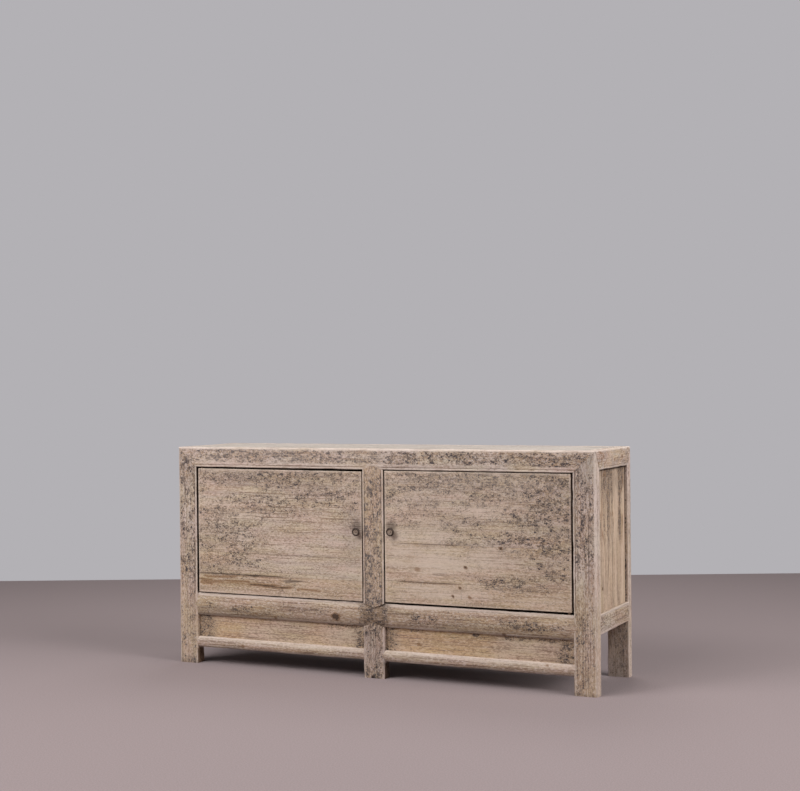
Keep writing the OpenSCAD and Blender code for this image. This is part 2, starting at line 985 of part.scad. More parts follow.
// The pin that fixes the knob, with a low round head in the dish
module knob_pin_solid(place) {
    pin_r = knob_pin_d / 2;
    translate([door_meeting_x + place[0], door_y, place[1]]) rotate([90, 0, 0])
        rotate_extrude($fn = 48)
            polygon([[0, -door_t], [pin_r, -door_t], [pin_r, knob_l - knob_dish + knob_pin_round],
                [pin_r - knob_pin_round, knob_l - knob_pin_down], [0, knob_l - knob_pin_down]]);
}

module left_door_upper_board() {
    on_left() door_board(door_low_z(left_bottom_gap) + left_lower_board_h + left_middle_board_h,
        door_high_z(left_top_gap), left_hinge_gap, left_bottom_gap, left_top_gap,
        left_knob_place);
}

module left_door_middle_board() {
    z = door_low_z(left_bottom_gap) + left_lower_board_h;
    on_left() door_board(z, z + left_middle_board_h, left_hinge_gap, left_bottom_gap,
        left_top_gap, left_knob_place);
}

module left_door_lower_board() {
    z = door_low_z(left_bottom_gap);
    on_left() door_board(z, z + left_lower_board_h, left_hinge_gap, left_bottom_gap,
        left_top_gap, left_knob_place);
}

module left_door_hinge_batten() {
    on_left() color(inner_colour) hinge_batten(left_hinge_gap, left_bottom_gap, left_top_gap);
}

module left_door_meeting_batten() {
    on_left() color(inner_colour) meeting_batten(left_bottom_gap, left_top_gap);
}

module left_door_pivot_pins() {
    on_left() color(knob_colour) pivot_pins(left_hinge_gap, left_bottom_gap, left_top_gap);
}

module left_knob() {
    on_left() color(knob_colour) knob_solid(left_knob_place);
}

module left_knob_pin() {
    on_left() color(inner_colour) knob_pin_solid(left_knob_place);
}

module right_door_upper_board() {
    door_board(door_low_z(right_bottom_gap) + right_lower_board_h + right_middle_board_h,
        door_high_z(right_top_gap), right_hinge_gap, right_bottom_gap, right_top_gap,
        right_knob_place);
}

module right_door_middle_board() {
    z = door_low_z(right_bottom_gap) + right_lower_board_h;
    door_board(z, z + right_middle_board_h, right_hinge_gap, right_bottom_gap,
        right_top_gap, right_knob_place);
}

module right_door_lower_board() {
    z = door_low_z(right_bottom_gap);
    door_board(z, z + right_lower_board_h, right_hinge_gap, right_bottom_gap,
        right_top_gap, right_knob_place);
}

module right_door_hinge_batten() {
    color(inner_colour) hinge_batten(right_hinge_gap, right_bottom_gap, right_top_gap);
}

module right_door_meeting_batten() {
    color(inner_colour) meeting_batten(right_bottom_gap, right_top_gap);
}

module right_door_pivot_pins() {
    color(knob_colour) pivot_pins(right_hinge_gap, right_bottom_gap, right_top_gap);
}

module right_knob() {
    color(knob_colour) knob_solid(right_knob_place);
}

module right_knob_pin() {
    color(inner_colour) knob_pin_solid(right_knob_place);
}

front_left_post();
front_right_post();
rear_left_post();
rear_right_post();
front_centre_post();
front_centre_leg();
rear_centre_post();
door_stop();
top_front_rail();
top_rear_rail();
top_left_rail();
top_right_rail();
top_front_board();
top_rear_board();
top_left_batten();
top_centre_batten();
top_right_batten();
mid_rail();
bottom_left_rail();
bottom_right_rail();
left_apron_panel();
right_apron_panel();
left_side_rail();
right_side_rail();
rear_left_rail();
rear_right_rail();
left_side_front_board();
left_side_middle_board();
left_side_rear_board();
right_side_front_board();
right_side_middle_board();
right_side_rear_board();
back_left_upper_board();
back_left_lower_board();
back_right_upper_board();
back_right_lower_board();
floor_front_board();
floor_rear_board();
floor_bearers();
shelf_front_board();
shelf_rear_board();
shelf_left_bearer();
shelf_centre_bearer();
shelf_right_bearer();
left_door_upper_board();
left_door_middle_board();
left_door_lower_board();
left_door_hinge_batten();
left_door_meeting_batten();
left_door_pivot_pins();
left_knob();
left_knob_pin();
right_door_upper_board();
right_door_middle_board();
right_door_lower_board();
right_door_hinge_batten();
right_door_meeting_batten();
right_door_pivot_pins();
right_knob();
right_knob_pin();
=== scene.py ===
# Looks of the sideboard: worn elm members, plank doors and turned knobs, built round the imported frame.
# Sizes are millimetres in the frame's own axes until a mesh is made. The front faces -Y and Z is up.

import math
from itertools import product

import bpy
import numpy as np
from mathutils import Matrix, Vector


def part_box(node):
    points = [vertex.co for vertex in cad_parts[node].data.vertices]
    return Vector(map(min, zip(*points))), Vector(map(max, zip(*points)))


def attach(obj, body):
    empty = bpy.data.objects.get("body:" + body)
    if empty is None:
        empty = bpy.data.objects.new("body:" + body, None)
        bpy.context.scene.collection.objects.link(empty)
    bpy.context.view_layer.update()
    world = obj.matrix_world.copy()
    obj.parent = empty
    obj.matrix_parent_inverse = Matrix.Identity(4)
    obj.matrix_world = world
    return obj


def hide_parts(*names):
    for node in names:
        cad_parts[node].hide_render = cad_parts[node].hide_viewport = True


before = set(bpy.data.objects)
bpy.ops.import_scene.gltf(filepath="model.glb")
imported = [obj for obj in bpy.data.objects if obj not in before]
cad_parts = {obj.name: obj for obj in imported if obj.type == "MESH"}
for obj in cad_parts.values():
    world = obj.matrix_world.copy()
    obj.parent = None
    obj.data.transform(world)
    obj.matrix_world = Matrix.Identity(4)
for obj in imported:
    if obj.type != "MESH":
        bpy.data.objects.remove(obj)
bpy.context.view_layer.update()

METRES = 0.001
SIDES = {"left": -1, "right": 1}
ENDS = "front", "rear"
INWARD = {"left": "+x", "right": "-x"}

# Places taken from the frame


def span(node):
    """A node's lowest and highest corners."""
    low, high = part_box(node)
    return np.array(low) / METRES, np.array(high) / METRES


POST_LOW, POST_HIGH = span("front_right_post")
REAR_LOW, REAR_HIGH = span("rear_right_post")
TOP_LOW, TOP_HIGH = span("top_front_rail")
END_LOW, END_HIGH = span("top_right_rail")
MID_LOW, MID_HIGH = span("mid_rail")
FOOT_RAIL_LOW = span("bottom_right_rail")[0][2]
CENTRE_X = span("front_centre_post")[1][0]
SIDE_RAIL_TOP = span("right_side_rail")[1][2]
CASE_TOP = TOP_HIGH[2]
POST_W, POST_D = (POST_HIGH - POST_LOW)[:2]
REAR_W, REAR_D = (REAR_HIGH - REAR_LOW)[:2]
TOP_H = TOP_HIGH[2] - TOP_LOW[2]
END_T, _, END_H = END_HIGH - END_LOW
OPENING_LOW, OPENING_HIGH = MID_HIGH[2], TOP_LOW[2]

# As the frame has them: the points of shoulders, the swell of rails and the joint round the top boards
MID_POINT, MID_SWELL = 20, 8
FOOT_POINT, FOOT_SWELL = 10, 6
POST_POINT = 16
TOP_JOINT = 0.6

# Beads and the quirks that set them off, which only the looks have
BEAD_W = 9
QUIRK_W, QUIRK_DEPTH, SIDE_QUIRK_DEPTH = 0.9, 1.5, 0.9
QUIRK_DIRT, QUIRK_DIRT_W = 0.35, 1.8

# Spacing of a member's points, the rounding of its ends and how far boards overlap behind their seams
FINE, COARSE = 5, 14
SUPPORT = 0.6
SEAM_R = 0.15
LAP = 1.2

# Knocks on each member
KNOCKS, KNOCK_DEPTH, KNOCK_R = 14, 0.9, (5, 13)

# Smooth numbers

LATTICE_SIDE = 32
LATTICE = np.random.default_rng(11).random((LATTICE_SIDE,) * 3)


def ramp(value, low, high):
    """Rises smoothly from 0 at low to 1 at high."""
    t = np.clip((value - low) / (high - low), 0, 1)
    return t * t * (3 - 2 * t)


def peak(distance, width):
    """Falls smoothly from 1 where distance is 0 to almost nothing two widths away."""
    return np.exp(-((distance / width) ** 2))


def noise(points, cell, seed):
    """Smooth noise from 0 to 1, whose lumps are cell across: one size, or one for each axis."""
    places = points / np.asarray(cell, float) + 7.31 * seed
    base = np.floor(places).astype(int)
    t = places - base
    t = t * t * (3 - 2 * t)
    total = np.zeros(points.shape[:-1])
    for corner in np.ndindex(2, 2, 2):
        weight = np.prod(np.abs(1 - np.array(corner) - t), -1)
        index = (base + corner) % LATTICE_SIDE
        total += weight * LATTICE[index[..., 0], index[..., 1], index[..., 2]]
    return total


# Shapes of timber

AXES = {"x": 0, "y": 1, "z": 2}
# Masks held in three attributes. Grime also stands for painted shade in gaps and under edges, knot for brown
# painted shade on shaded leg sides, pale for painted highlights and painted light, and shade is painted shade
MASKS = {
    "weather": ("pits", "wear", "grime"),
    "tone": ("warm", "knot", "pale"),
    "figure": ("lined", "grey", "shade"),
}


class Place:
    """The axes of a piece of timber in its node's box: along it, across its face, and deep behind the face. Where
    the piece ends elsewhere than the box, ends holds its low and high place on that axis."""

    def __init__(self, node, along, across, deep, **ends):
        self.node = node
        low, high = span(node)
        for axis, pair in ends.items():
            low[AXES[axis]], high[AXES[axis]] = pair
        self.basis = np.zeros((3, 3))
        for row, name in enumerate((along, across, deep)):
            self.basis[row, AXES[name[1]]] = 1 if name[0] == "+" else -1
        self.origin = np.where(self.basis.sum(0) > 0, low, high)
        self.size = np.abs(self.basis @ (high - low))

    def points(self, a, u, v):
        """Points of the frame at places a along, u across and v deep."""
        return self.origin + np.stack(np.broadcast_arrays(a, u, v), -1) @ self.basis


def outline(w, d, radii, steps, lines):
    """Points round a section w across and d deep: along its face, inner side, back and outer side. lines holds
    places on them that need closer points."""
    corners = np.array([(0, 0), (w, 0), (w, d), (0, d)], float)
    close = np.array([-2, -1, -0.5, 0, 0.5, 1, 2]) * QUIRK_W
    found = []
    for i, corner in enumerate(corners):
        after = corners[(i + 1) % 4]
        length = np.linalg.norm(after - corner)
        along = (after - corner) / length
        inward = np.array([-along[1], along[0]])
        r = radii[(i + 1) % 4]
        first, last = radii[i], length - r
        places = np.linspace(first + SUPPORT, last - SUPPORT, max(2, math.ceil((last - first) / steps[i])))
        places = np.concatenate([[first], places, [last]])
        for line in lines.get(i, ()):
            places = places[(abs(places - line) > 2.5 * QUIRK_W) | (places == first) | (places == last)]
            places = np.concatenate([places, line + close])
        found += [corner + along * s for s in np.sort(places)]
        centre = after + r * (inward - along)
        for t in np.linspace(0, math.pi / 2, max(2, math.ceil(r / 1.6)) + 1)[1:-1]:
            found.append(centre + r * (math.sin(t) * along - math.cos(t) * inward))
    return np.array(found)


def outward(line):
    """Outward directions at the points of an outline."""
    along = np.roll(line, -1, 0) - np.roll(line, 1, 0)
    along /= np.linalg.norm(along, axis=1)[:, None]
    return np.stack([along[:, 1], -along[:, 0]], 1)


def rings(start, end, step, r):
    """Places of the rings along a piece, close together at its rounded ends, and how far each ring is drawn in."""
    close = r * np.array([0, 0.12, 0.45, 1, 3])
    drawn = r - np.sqrt(r * r - np.maximum(r - close, 0) ** 2)
    near, far = start + close[:, None], end - close[::-1, None]
    count = max(1, math.ceil(float(np.max(far[0] - near[-1])) / step))
    shares = np.linspace(0, 1, count + 1)[1:-1, None]
    between = near[-1] + shares * (far[0] - near[-1])
    return np.concatenate([near, between, far]), np.concatenate([drawn, np.zeros(len(shares)), drawn[::-1]])


def flat_end(place):
    """An end surface at one place along, however far across and deep."""
    return lambda u, v: np.full(np.shape(u), float(place))


def pointed(place, reach, w, sign):
    """An end with a point in the middle of its face that reaches past its shoulders."""
    return lambda u, v: place + sign * reach * (1 - abs(2 * u / w - 1))


def arc_back(w, swell):
    """How far a swelled face falls back at each place across it."""
    r = (w * w / 4 + swell * swell) / (2 * swell)
    return lambda u: r - np.sqrt(r * r - (u - w / 2) ** 2)


def knocks(points, seed):
    """Small dents at seeded places on a piece."""
    chance = np.random.default_rng(seed)
    flat = points.reshape(-1, 3)
    total = np.zeros(len(flat))
    for centre in flat[chance.integers(0, len(flat), KNOCKS)]:
        r = chance.uniform(*KNOCK_R)
        total += chance.uniform(0.3, 1) * KNOCK_DEPTH * peak(np.linalg.norm(flat - centre, axis=1), r)
    return total.reshape(points.shape[:-1])


def worn_down(points, edge, seed, arris):
    """How far the surface has gone: slow waves, softened arrises and knocks."""
    waves = 0.5 * noise(points, 110, 1) + 0.25 * noise(points, 34, 2)
    soft = arris * peak(edge, 6) * ramp(noise(points, 42, seed + 2), 0.3, 0.85)
    return waves + soft + knocks(points, seed)


class Timber:
    """A piece of timber swept along its place, with its surface worn and its weathering held in masks."""

    def __init__(self, place, seed, radii, steps=(FINE, FINE, COARSE, FINE), lines=None, ends=None, grain="auv",
                 seam=SEAM_R, step=FINE, arris=1.2, bulge=None):
        self.place, self.seed, self.bulge = place, seed, bulge
        length, self.w, self.d = place.size
        line = outline(self.w, self.d, radii, steps, lines or {})
        self.facing = outward(line)
        u, v = line[None, :, 0], line[None, :, 1]
        start, end = ends or (flat_end(0), flat_end(length))
        self.a, self.drawn = rings(start(u, v), end(u, v), step, seam)
        self.u, self.v = (np.broadcast_to(x, self.a.shape) for x in (u, v))
        corners = product((0, self.w), (0, self.d))
        self.edge = np.min([np.hypot(self.u - x, self.v - y) for x, y in corners], 0)
        self.outer, self.front = np.clip(-self.facing.T, 0, 1)
        self.points = place.points(self.a, self.u, self.v)
        self.down = worn_down(self.points, self.edge, seed, arris)
        self.grain = ["auv".index(c) for c in grain]
        self.masks = {name: np.zeros(self.a.shape) for names in MASKS.values() for name in names}

    def groove(self, distance, depth, width=QUIRK_W, face=None):
        """Cuts a rounded groove where distance is 0, on the face or on another side."""
        side = self.front if face is None else face
        self.down = self.down + side * depth * peak(distance, width)

    def quirk(self, place, here=1):
        """Cuts the groove beside a bead of the face and lets soil settle in it."""
        self.groove(self.u - place, QUIRK_DEPTH * here)
        self.add(self.front, grime=QUIRK_DIRT * here * peak(self.u - place, QUIRK_DIRT_W))

    def side_quirk(self):
        """Cuts the groove beside the bead of a post's outer side, above the side rail."""
        here = ramp(self.a, SIDE_RAIL_TOP - 3, SIDE_RAIL_TOP)
        self.groove(self.v - (self.d - BEAD_W), SIDE_QUIRK_DEPTH * here, face=self.outer)

    def add(self, here=1, **amounts):
        """Raises masks to at least these amounts where here is 1."""
        for name, amount in amounts.items():
            self.masks[name] = np.maximum(self.masks[name], np.clip(here * amount, 0, 1))

    def dirty(self, amount):
        """Fills a part that faces a gap with painted shade, in the soil colour and the shade tint."""
        self.add(grime=amount, shade=amount)

    def make(self, slot="frame_wood", body="case", material=None):
        """Builds the mesh with its attributes and lets it stand for its node."""
        node = self.place.node
        move = self.down + self.drawn[:, None]
        u = self.u - self.facing[:, 0] * move
        v = self.v - self.facing[:, 1] * move
        if self.bulge:
            v = v + self.bulge(u) * (1 - v / self.d)
        mesh = skin(node + "_timber", self.place.points(self.a, u, v), np.linalg.det(self.place.basis) > 0)
        local = np.stack([self.a, self.u, self.v], -1)[..., self.grain]
        store(mesh, "grain", local * METRES + np.random.default_rng(self.seed).uniform(0, 9, 3))
        for attribute, names in MASKS.items():
            store(mesh, attribute, np.stack([self.masks[name] for name in names], -1))
        finish_piece(mesh, body, slot, material or WOODS[slot], node)


def skin(name, rows, flipped):
    """A closed mesh over rows of points, with each end fanned to the middle of its row."""
    count, around, _ = rows.shape
    index = np.arange(count * around).reshape(count, around)
    beside = np.roll(index, -1, 1)
    quads = np.stack([index[:-1], beside[:-1], beside[1:], index[1:]], -1).reshape(-1, 4)
    caps = [np.stack([np.full(around, count * around + i), index[row], beside[row]], -1)
            for i, row in enumerate((0, -1))]
    faces = quads.tolist() + caps[0][:, ::-1].tolist() + caps[1].tolist()
    if flipped:
        faces = [face[::-1] for face in faces]
    mesh = bpy.data.meshes.new(name)
    mesh.from_pydata((with_middles(rows) * METRES).tolist(), [], faces)
    return mesh


def with_middles(rows):
    """The values of all rows, and after them the means of the first and the last row."""
    return np.concatenate([rows.reshape(-1, 3), rows[[0, -1]].mean(1)])


def store(mesh, name, rows):
    """Writes a vector attribute."""
    attribute = mesh.attributes.new(name, "FLOAT_VECTOR", "POINT")
    attribute.data.foreach_set("vector", with_middles(rows).astype(np.float32).ravel())


def finish_piece(mesh, body, slot, material, *nodes):
    """Smooths a mesh, gives it its material and lets it stand for its nodes."""
    mesh.shade_smooth()
    mesh.set_sharp_from_angle(angle=math.radians(50))
    mesh.materials.append(material)
    piece = bpy.data.objects.new(mesh.name, mesh)
    bpy.context.scene.collection.objects.link(piece)
    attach(piece, body)
    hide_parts(*nodes)


# Materials


def srgb(red, green, blue):
    """A colour as the screen shows it, made linear for the shaders."""
    shares = [c / 255 for c in (red, green, blue)]
    return tuple(c / 12.92 if c <= 0.04045 else ((c + 0.055) / 1.055) ** 2.4 for c in shares) + (1,)


# Colours of what shows in every wood, and the tints that multiply it; the knot ring and soil colours also lay
# painted shade, and the SHADE tint is painted shade
KNOT_AND_SHADE_BROWN, KNOT_HEART = srgb(126, 90, 57), srgb(62, 46, 38)
SOIL_AND_SHADE, CHECK = srgb(80, 64, 54), srgb(66, 54, 48)
SHADE = srgb(128, 116, 108)
ROSY, STRAW = (1.014, 0.976, 1.007, 1), (1, 1.02, 0.945, 1)


class Graph:
    """The nodes of a material or a world, with a short call for each kind."""

    def __init__(self, holder):
        holder.use_nodes = True
        self.holder, self.tree = holder, holder.node_tree

    def feed(self, socket, value):
        """Links a socket to another, or sets its value."""
        if isinstance(value, bpy.types.NodeSocket):
            self.tree.links.new(value, socket)
        else:
            socket.default_value = value

    def add(self, kind, inputs, output=0, **fields):
        """Adds a node with those fields and inputs, and gives one of its outputs."""
        node = self.tree.nodes.new("ShaderNode" + kind)
        for field, value in fields.items():
            setattr(node, field, value)
        for key, value in inputs.items():
            self.feed(node.inputs[key], value)
        return node.outputs[output]

    def surface(self, inputs):
        """Feeds the material's own shader."""
        for key, value in inputs.items():
            self.feed(self.tree.nodes["Principled BSDF"].inputs[key], value)

    def maths(self, operation, a, b=0):
        return self.add("Math", {0: a, 1: b}, operation=operation)

    def times(self, a, b):
        return self.maths("MULTIPLY", a, b)

    def plus(self, a, b):
        return self.maths("ADD", a, b)

    def minus(self, a, b):
        return self.maths("SUBTRACT", a, b)

    def xyz(self, vector):
        """The three numbers of a vector."""
        return [self.add("SeparateXYZ", {0: vector}, output=i) for i in range(3)]

    def scaled(self, vector, along, across, deep):
        return self.add("VectorMath", {0: vector, 1: (along, across, deep)}, operation="MULTIPLY")

    def noise(self, vector, detail=2, roughness=0.5, distortion=0):
        return self.add("TexNoise", {
            "Vector": vector, "Scale": 1, "Detail": detail, "Roughness": roughness, "Distortion": distortion})

    def ramp(self, value, low, high, to_low=0, to_high=1):
        inputs = {0: value, 1: low, 2: high, 3: to_low, 4: to_high}
        return self.add("MapRange", inputs, interpolation_type="SMOOTHSTEP")

    def mix(self, amount, a, b, blend="MIX"):
        return self.add("Mix", {0: amount, 6: a, 7: b}, output=2, data_type="RGBA", blend_type=blend)

    def flecks(self, places, reach):
        """Ragged specks, darker toward their middles: their broken edge, the specks and their rim."""
        edge = self.noise(places, 5, 0.75)
        bend = self.add("TexNoise", {"Vector": places, "Scale": 1.4, "Detail": 3}, output=1)
        bent = self.add("VectorMath", {0: places, 1: bend})
        cell = self.add("TexVoronoi", {"Vector": bent, "Scale": 1}, output=1)
        size = self.add("SeparateXYZ", {0: cell})
        gap = self.add("TexVoronoi", {"Vector": bent, "Scale": 1})
        gap = self.plus(gap, self.times(self.minus(edge, 0.5), 1.6))
        lump = self.minus(self.times(self.ramp(size, 0, 0.9, 0.15, 0.8), reach), gap)
        depth = self.ramp(self.noise(self.scaled(places, 0.4, 0.6, 0.6), 2), 0.35, 0.6, 0.55, 1)
        return edge, self.times(self.ramp(lump, -0.17, 0.2), depth), self.ramp(lump, -0.5, -0.15)


class Wood(Graph):
    """Weathered elm, painted in layers. Its grain and masks come from a piece's attributes, or for a node of the
    frame, whose grain runs along axis, from its place."""

    def __init__(self, name, axis):
        super().__init__(bpy.data.materials.new(name))
        if axis is None:
            self.grain = self.add("Attribute", {}, output=1, attribute_name="grain")
            for attribute, names in MASKS.items():
                held = self.xyz(self.add("Attribute", {}, output=1, attribute_name=attribute))
                for mask, value in zip(names, held):
                    setattr(self, mask, value)
        else:
            first = AXES[axis]
            place = self.xyz(self.add("TexCoord", {}, output=3))
            self.grain = self.add("CombineXYZ", {i: place[(first + i) % 3] for i in range(3)})
            slow = self.lumps(3, 9, 1)
            self.wear = self.knot = self.pale = self.grey = self.shade = 0
            self.pits, self.warm, self.lined = self.ramp(slow, 0.5, 0.9), self.ramp(slow, 0.4, 0.7), 0.3
            self.grime = self.ramp(slow, 0.55, 0.3, 0, 0.35)

    def lumps(self, along, across, *form):
        """Noise with so many lumps a metre along the grain and across it."""
        return self.noise(self.scaled(self.grain, along, across, across), *form)

    def paint(self, amount, colour, blend="MIX"):
        """Lays a colour over those that are there."""
        self.colour = self.mix(amount, self.colour, colour, blend)


def wood(name, tones, pit_cell=6, rough=0.8, axis=None):
    """One wood of those tones, whose pits are about pit_cell millimetres long."""
    g = Wood(name, axis)
    tan, pale, grey, warm, brown, dark = (srgb(*tone) for tone in tones)

    # Slow changes of tone, then growth bands, dark lines, fibres and mottling along the grain
    cloud = g.lumps(5, 16, 3, 0.55)
    drift = g.lumps(4, 26, 2, 0.5)
    bands = g.lumps(2.2, 62, 3, 0.6, 0.6)
    lines = g.lumps(5, 230, 3, 0.6)
    fibre = g.lumps(26, 620, 3, 0.65)
    g.colour = g.mix(g.ramp(cloud, 0.3, 0.7), tan, pale)
    g.paint(g.times(g.warm, g.ramp(bands, 0.25, 0.75, 0.5, 1)), warm)
    g.paint(g.ramp(bands, 0.44, 0.62, 0, 0.34), grey)
    drawn = g.plus(g.ramp(drift, 0.42, 0.62, 0.18, 0.55), g.lined)
    g.paint(g.times(g.ramp(lines, 0.5, 0.62), g.maths("MINIMUM", drawn, 1)), brown)
    g.paint(g.ramp(lines, 0.47, 0.34, 0, 0.55), pale)
    g.paint(g.ramp(fibre, 0.5, 0.7, 0, 0.4), grey)
    g.paint(g.ramp(fibre, 0.48, 0.3, 0, 0.4), pale)
    mottle = g.lumps(95, 230, 3, 0.65)
    g.paint(g.ramp(mottle, 0.52, 0.65, 0, 0.7), brown)
    g.paint(g.ramp(mottle, 0.48, 0.35, 0, 0.85), pale)

    # Rosy in some places and straw in others
    tint = g.lumps(6, 24, 2, 0.5)
    g.paint(g.ramp(tint, 0.5, 0.65), ROSY, "MULTIPLY")
    g.paint(g.ramp(tint, 0.5, 0.35), STRAW, "MULTIPLY")

    # Long checks that open along the grain
    check = g.lumps(3.2, 46, 1, 0.5, 0.4)
    check = g.ramp(g.maths("ABSOLUTE", g.minus(check, 0.5)), 0.012, 0.002)
    check = g.times(check, g.ramp(g.lumps(9, 30, 1), 0.6, 0.72))

    # Pits, thick where the mask says, in wood that has gone grey with a warm glint between them
    across = 1000 / pit_cell
    group = g.lumps(0.2 * across, 0.3 * across, 2, 0.6)
    reach = g.times(g.ramp(group, 0.35, 0.6, 0.45, 1.05), g.ramp(g.pits, 0, 0.8, 0.18, 1))
    fleck, big, rim = g.flecks(g.scaled(g.grain, 0.7 * across, across, across), reach)
    small = g.flecks(g.scaled(g.grain, 1.7 * across, 2.6 * across, 2.6 * across), reach)[1]
    pit = g.maths("MAXIMUM", big, g.times(small, 0.9))
    veil = g.plus(g.times(g.pits, g.ramp(drift, 0.3, 0.65, 0, 0.18)), g.grey)
    g.paint(g.maths("MINIMUM", veil, 0.9), grey)
    g.paint(g.times(g.times(rim, g.pits), 0.6), warm)
    g.paint(g.times(g.pits, g.ramp(fleck, 0.49, 0.36)), pale)
    g.paint(g.times(pit, g.ramp(g.pits, 0, 0.5, 0.45, 0.95)), dark)

    # Pale worn edges, pale wood that includes painted highlights and painted light, knots, grime, checks and
    # painted shade; the knot and grime layers also lay painted shade
    g.paint(g.times(g.wear, g.ramp(fleck, 0.62, 0.46, 0.35, 0.9)), pale)
    g.paint(g.times(g.pale, g.ramp(lines, 0.6, 0.45, 0.4, 0.8)), pale)
    uneven = g.plus(g.knot, g.times(g.minus(fleck, 0.5), 0.5))
    g.paint(g.times(g.ramp(uneven, 0.2, 0.5), 0.65), KNOT_AND_SHADE_BROWN)
    heart = g.ramp(uneven, 0.6, 0.8)
    g.paint(g.times(heart, 0.85), KNOT_HEART)
    soiled_and_shaded = g.times(g.grime, g.ramp(lines, 0.38, 0.58, 0.45, 1))
    g.paint(g.times(soiled_and_shaded, 0.85), SOIL_AND_SHADE)
    g.paint(g.times(check, 0.65), CHECK)
    g.paint(g.shade, g.mix(1, g.colour, SHADE, "MULTIPLY"))

    dull = g.plus(g.ramp(fibre, 0.3, 0.7, rough - 0.08, rough + 0.06), g.times(pit, 0.1))
    height = g.times(fibre, 0.3)
    for part, share in (lines, 0.5), (pit, 0.7), (check, 1), (heart, 0.3):
        height = g.minus(height, g.times(part, share))
    g.surface({
        "Base Color": g.colour,
        "Roughness": g.minus(dull, g.times(g.wear, 0.12)),
        "Specular IOR Level": 0.35,
        "Normal": g.add("Bump", {"Strength": 0.7, "Distance": 0.001, "Height": height}),
    })
    return g.holder


# Tones of each wood: tan, pale, grey, warm, brown and dark
BROWN, DARK = (129, 103, 84), (60, 55, 61)
FRAME_TONES = (188, 162, 142), (209, 193, 182), (145, 134, 131), (186, 152, 112), BROWN, DARK
DOOR_TONES = (192, 166, 145), (209, 190, 174), (147, 136, 132), (190, 157, 114), BROWN, DARK
PANEL_TONES = (187, 161, 138), (205, 182, 160), (150, 136, 126), (198, 160, 112), BROWN, DARK
TOP_TONES = (166, 151, 139), (189, 179, 170), (153, 144, 137), (174, 153, 132), (134, 118, 106), (82, 75, 76)
INNER_TONES = (152, 126, 102), (170, 145, 121), (128, 110, 95), (156, 122, 88), (112, 88, 70), (84, 70, 60)
KNOB_TONES = (128, 108, 95), (160, 140, 125), (104, 90, 81), (132, 102, 79), (86, 68, 56), (52, 43, 39)
WOODS = {
    "frame_wood": wood("frame_wood", FRAME_TONES),
    "door_wood": wood("door_wood", DOOR_TONES, 4.8),
    "panel_wood": wood("panel_wood", PANEL_TONES, 5),
    "top_wood": wood("top_wood", TOP_TONES, 5),
    "inner_wood": wood("inner_wood", INNER_TONES, rough=0.85),
    "knob_wood": wood("knob_wood", KNOB_TONES, 3, rough=0.6),
}
NODE_WOOD = {axis: wood("inner_wood_" + axis, INNER_TONES, rough=0.85, axis=axis) for axis in "yz"}

# What the photograph shows on the front, as middle x, middle z, half length, half height and strength

PIT_PATCHES = [
    (-610, 520, 190, 250, 0.52), (-385, 690, 400, 55, 0.75), (-330, 620, 350, 80, 0.55),
    (-430, 460, 130, 100, 0.4), (-100, 640, 90, 100, 0.5), (-90, 560, 60, 80, 0.55),
    (385, 697, 400, 46, 0.85), (640, 680, 130, 70, 1), (630, 560, 170, 170, 0.9), (386, 548, 100, 90, 0.6),
    (540, 350, 200, 40, 0.65), (670, 420, 70, 120, 0.6),
    (210, 600, 170, 70, 0.5), (130, 570, 80, 80, 0.55), (470, 620, 220, 70, 0.55), (330, 420, 70, 50, 0.35),
    (365, 480, 110, 36, 0.62), (290, 530, 140, 40, 0.55), (480, 500, 120, 60, 0.6), (250, 440, 60, 20, 0.35),
]
GREY_PATCHES = [
    (-520, 690, 180, 45, 1), (-300, 665, 230, 50, 0.8), (-620, 480, 110, 90, 0.5), (-590, 350, 130, 30, 0.5),
    (420, 692, 320, 40, 1), (640, 590, 110, 90, 0.9), (560, 660, 160, 40, 0.8), (250, 640, 160, 40, 0.5),
    (650, 420, 70, 80, 0.6), (300, 545, 120, 40, 0.4), (560, 345, 140, 35, 0.4), (650, 690, 130, 60, 1),
    (-80, 480, 50, 160, 0.8),
]
LINED_PATCHES = [
    (-400, 600, 300, 110, 0.9), (-250, 560, 180, 60, 0.8), (-380, 440, 260, 40, 0.5), (-520, 310, 200, 25, 0.8),
    (300, 650, 260, 60, 0.7), (520, 560, 180, 120, 0.6), (250, 560, 200, 40, 0.5), (480, 330, 240, 40, 0.6),
]
# Paler wood, and in part painted light that evens out the lamps' fall-off across the right door
PALE_AND_LIT_PATCHES = [
    (-250, 480, 180, 60, 0.12), (-180, 390, 150, 25, 0.25), (-520, 560, 120, 20, 0.3), (-200, 315, 150, 25, 0.2),
    (200, 600, 160, 90, 0.3), (210, 500, 140, 60, 0.5), (420, 600, 140, 35, 0.6), (220, 420, 170, 60, 1),
    (430, 440, 130, 40, 0.8), (110, 450, 80, 80, 1), (270, 310, 260, 40, 0.9), (600, 300, 130, 20, 0.5),
    (420, 690, 300, 30, 0.3),
]
WARM_PATCHES = [
    (-640, 420, 120, 120, 1), (-560, 330, 180, 40, 0.9), (160, 420, 130, 70, 1), (240, 320, 220, 60, 0.8),
    (560, 600, 90, 60, 0.4), (620, 290, 120, 30, 0.6),
]
MID_RAIL_PITS = [
    (-540, 212, 90, 24, 0.95), (-670, 215, 60, 20, 0.7), (-250, 222, 110, 16, 0.5), (560, 215, 130, 22, 0.8),
    (180, 218, 130, 20, 0.75),
]
MID_RAIL_GRIME = [(-300, 232, 120, 16, 0.4), (90, 228, 70, 16, 0.35)]
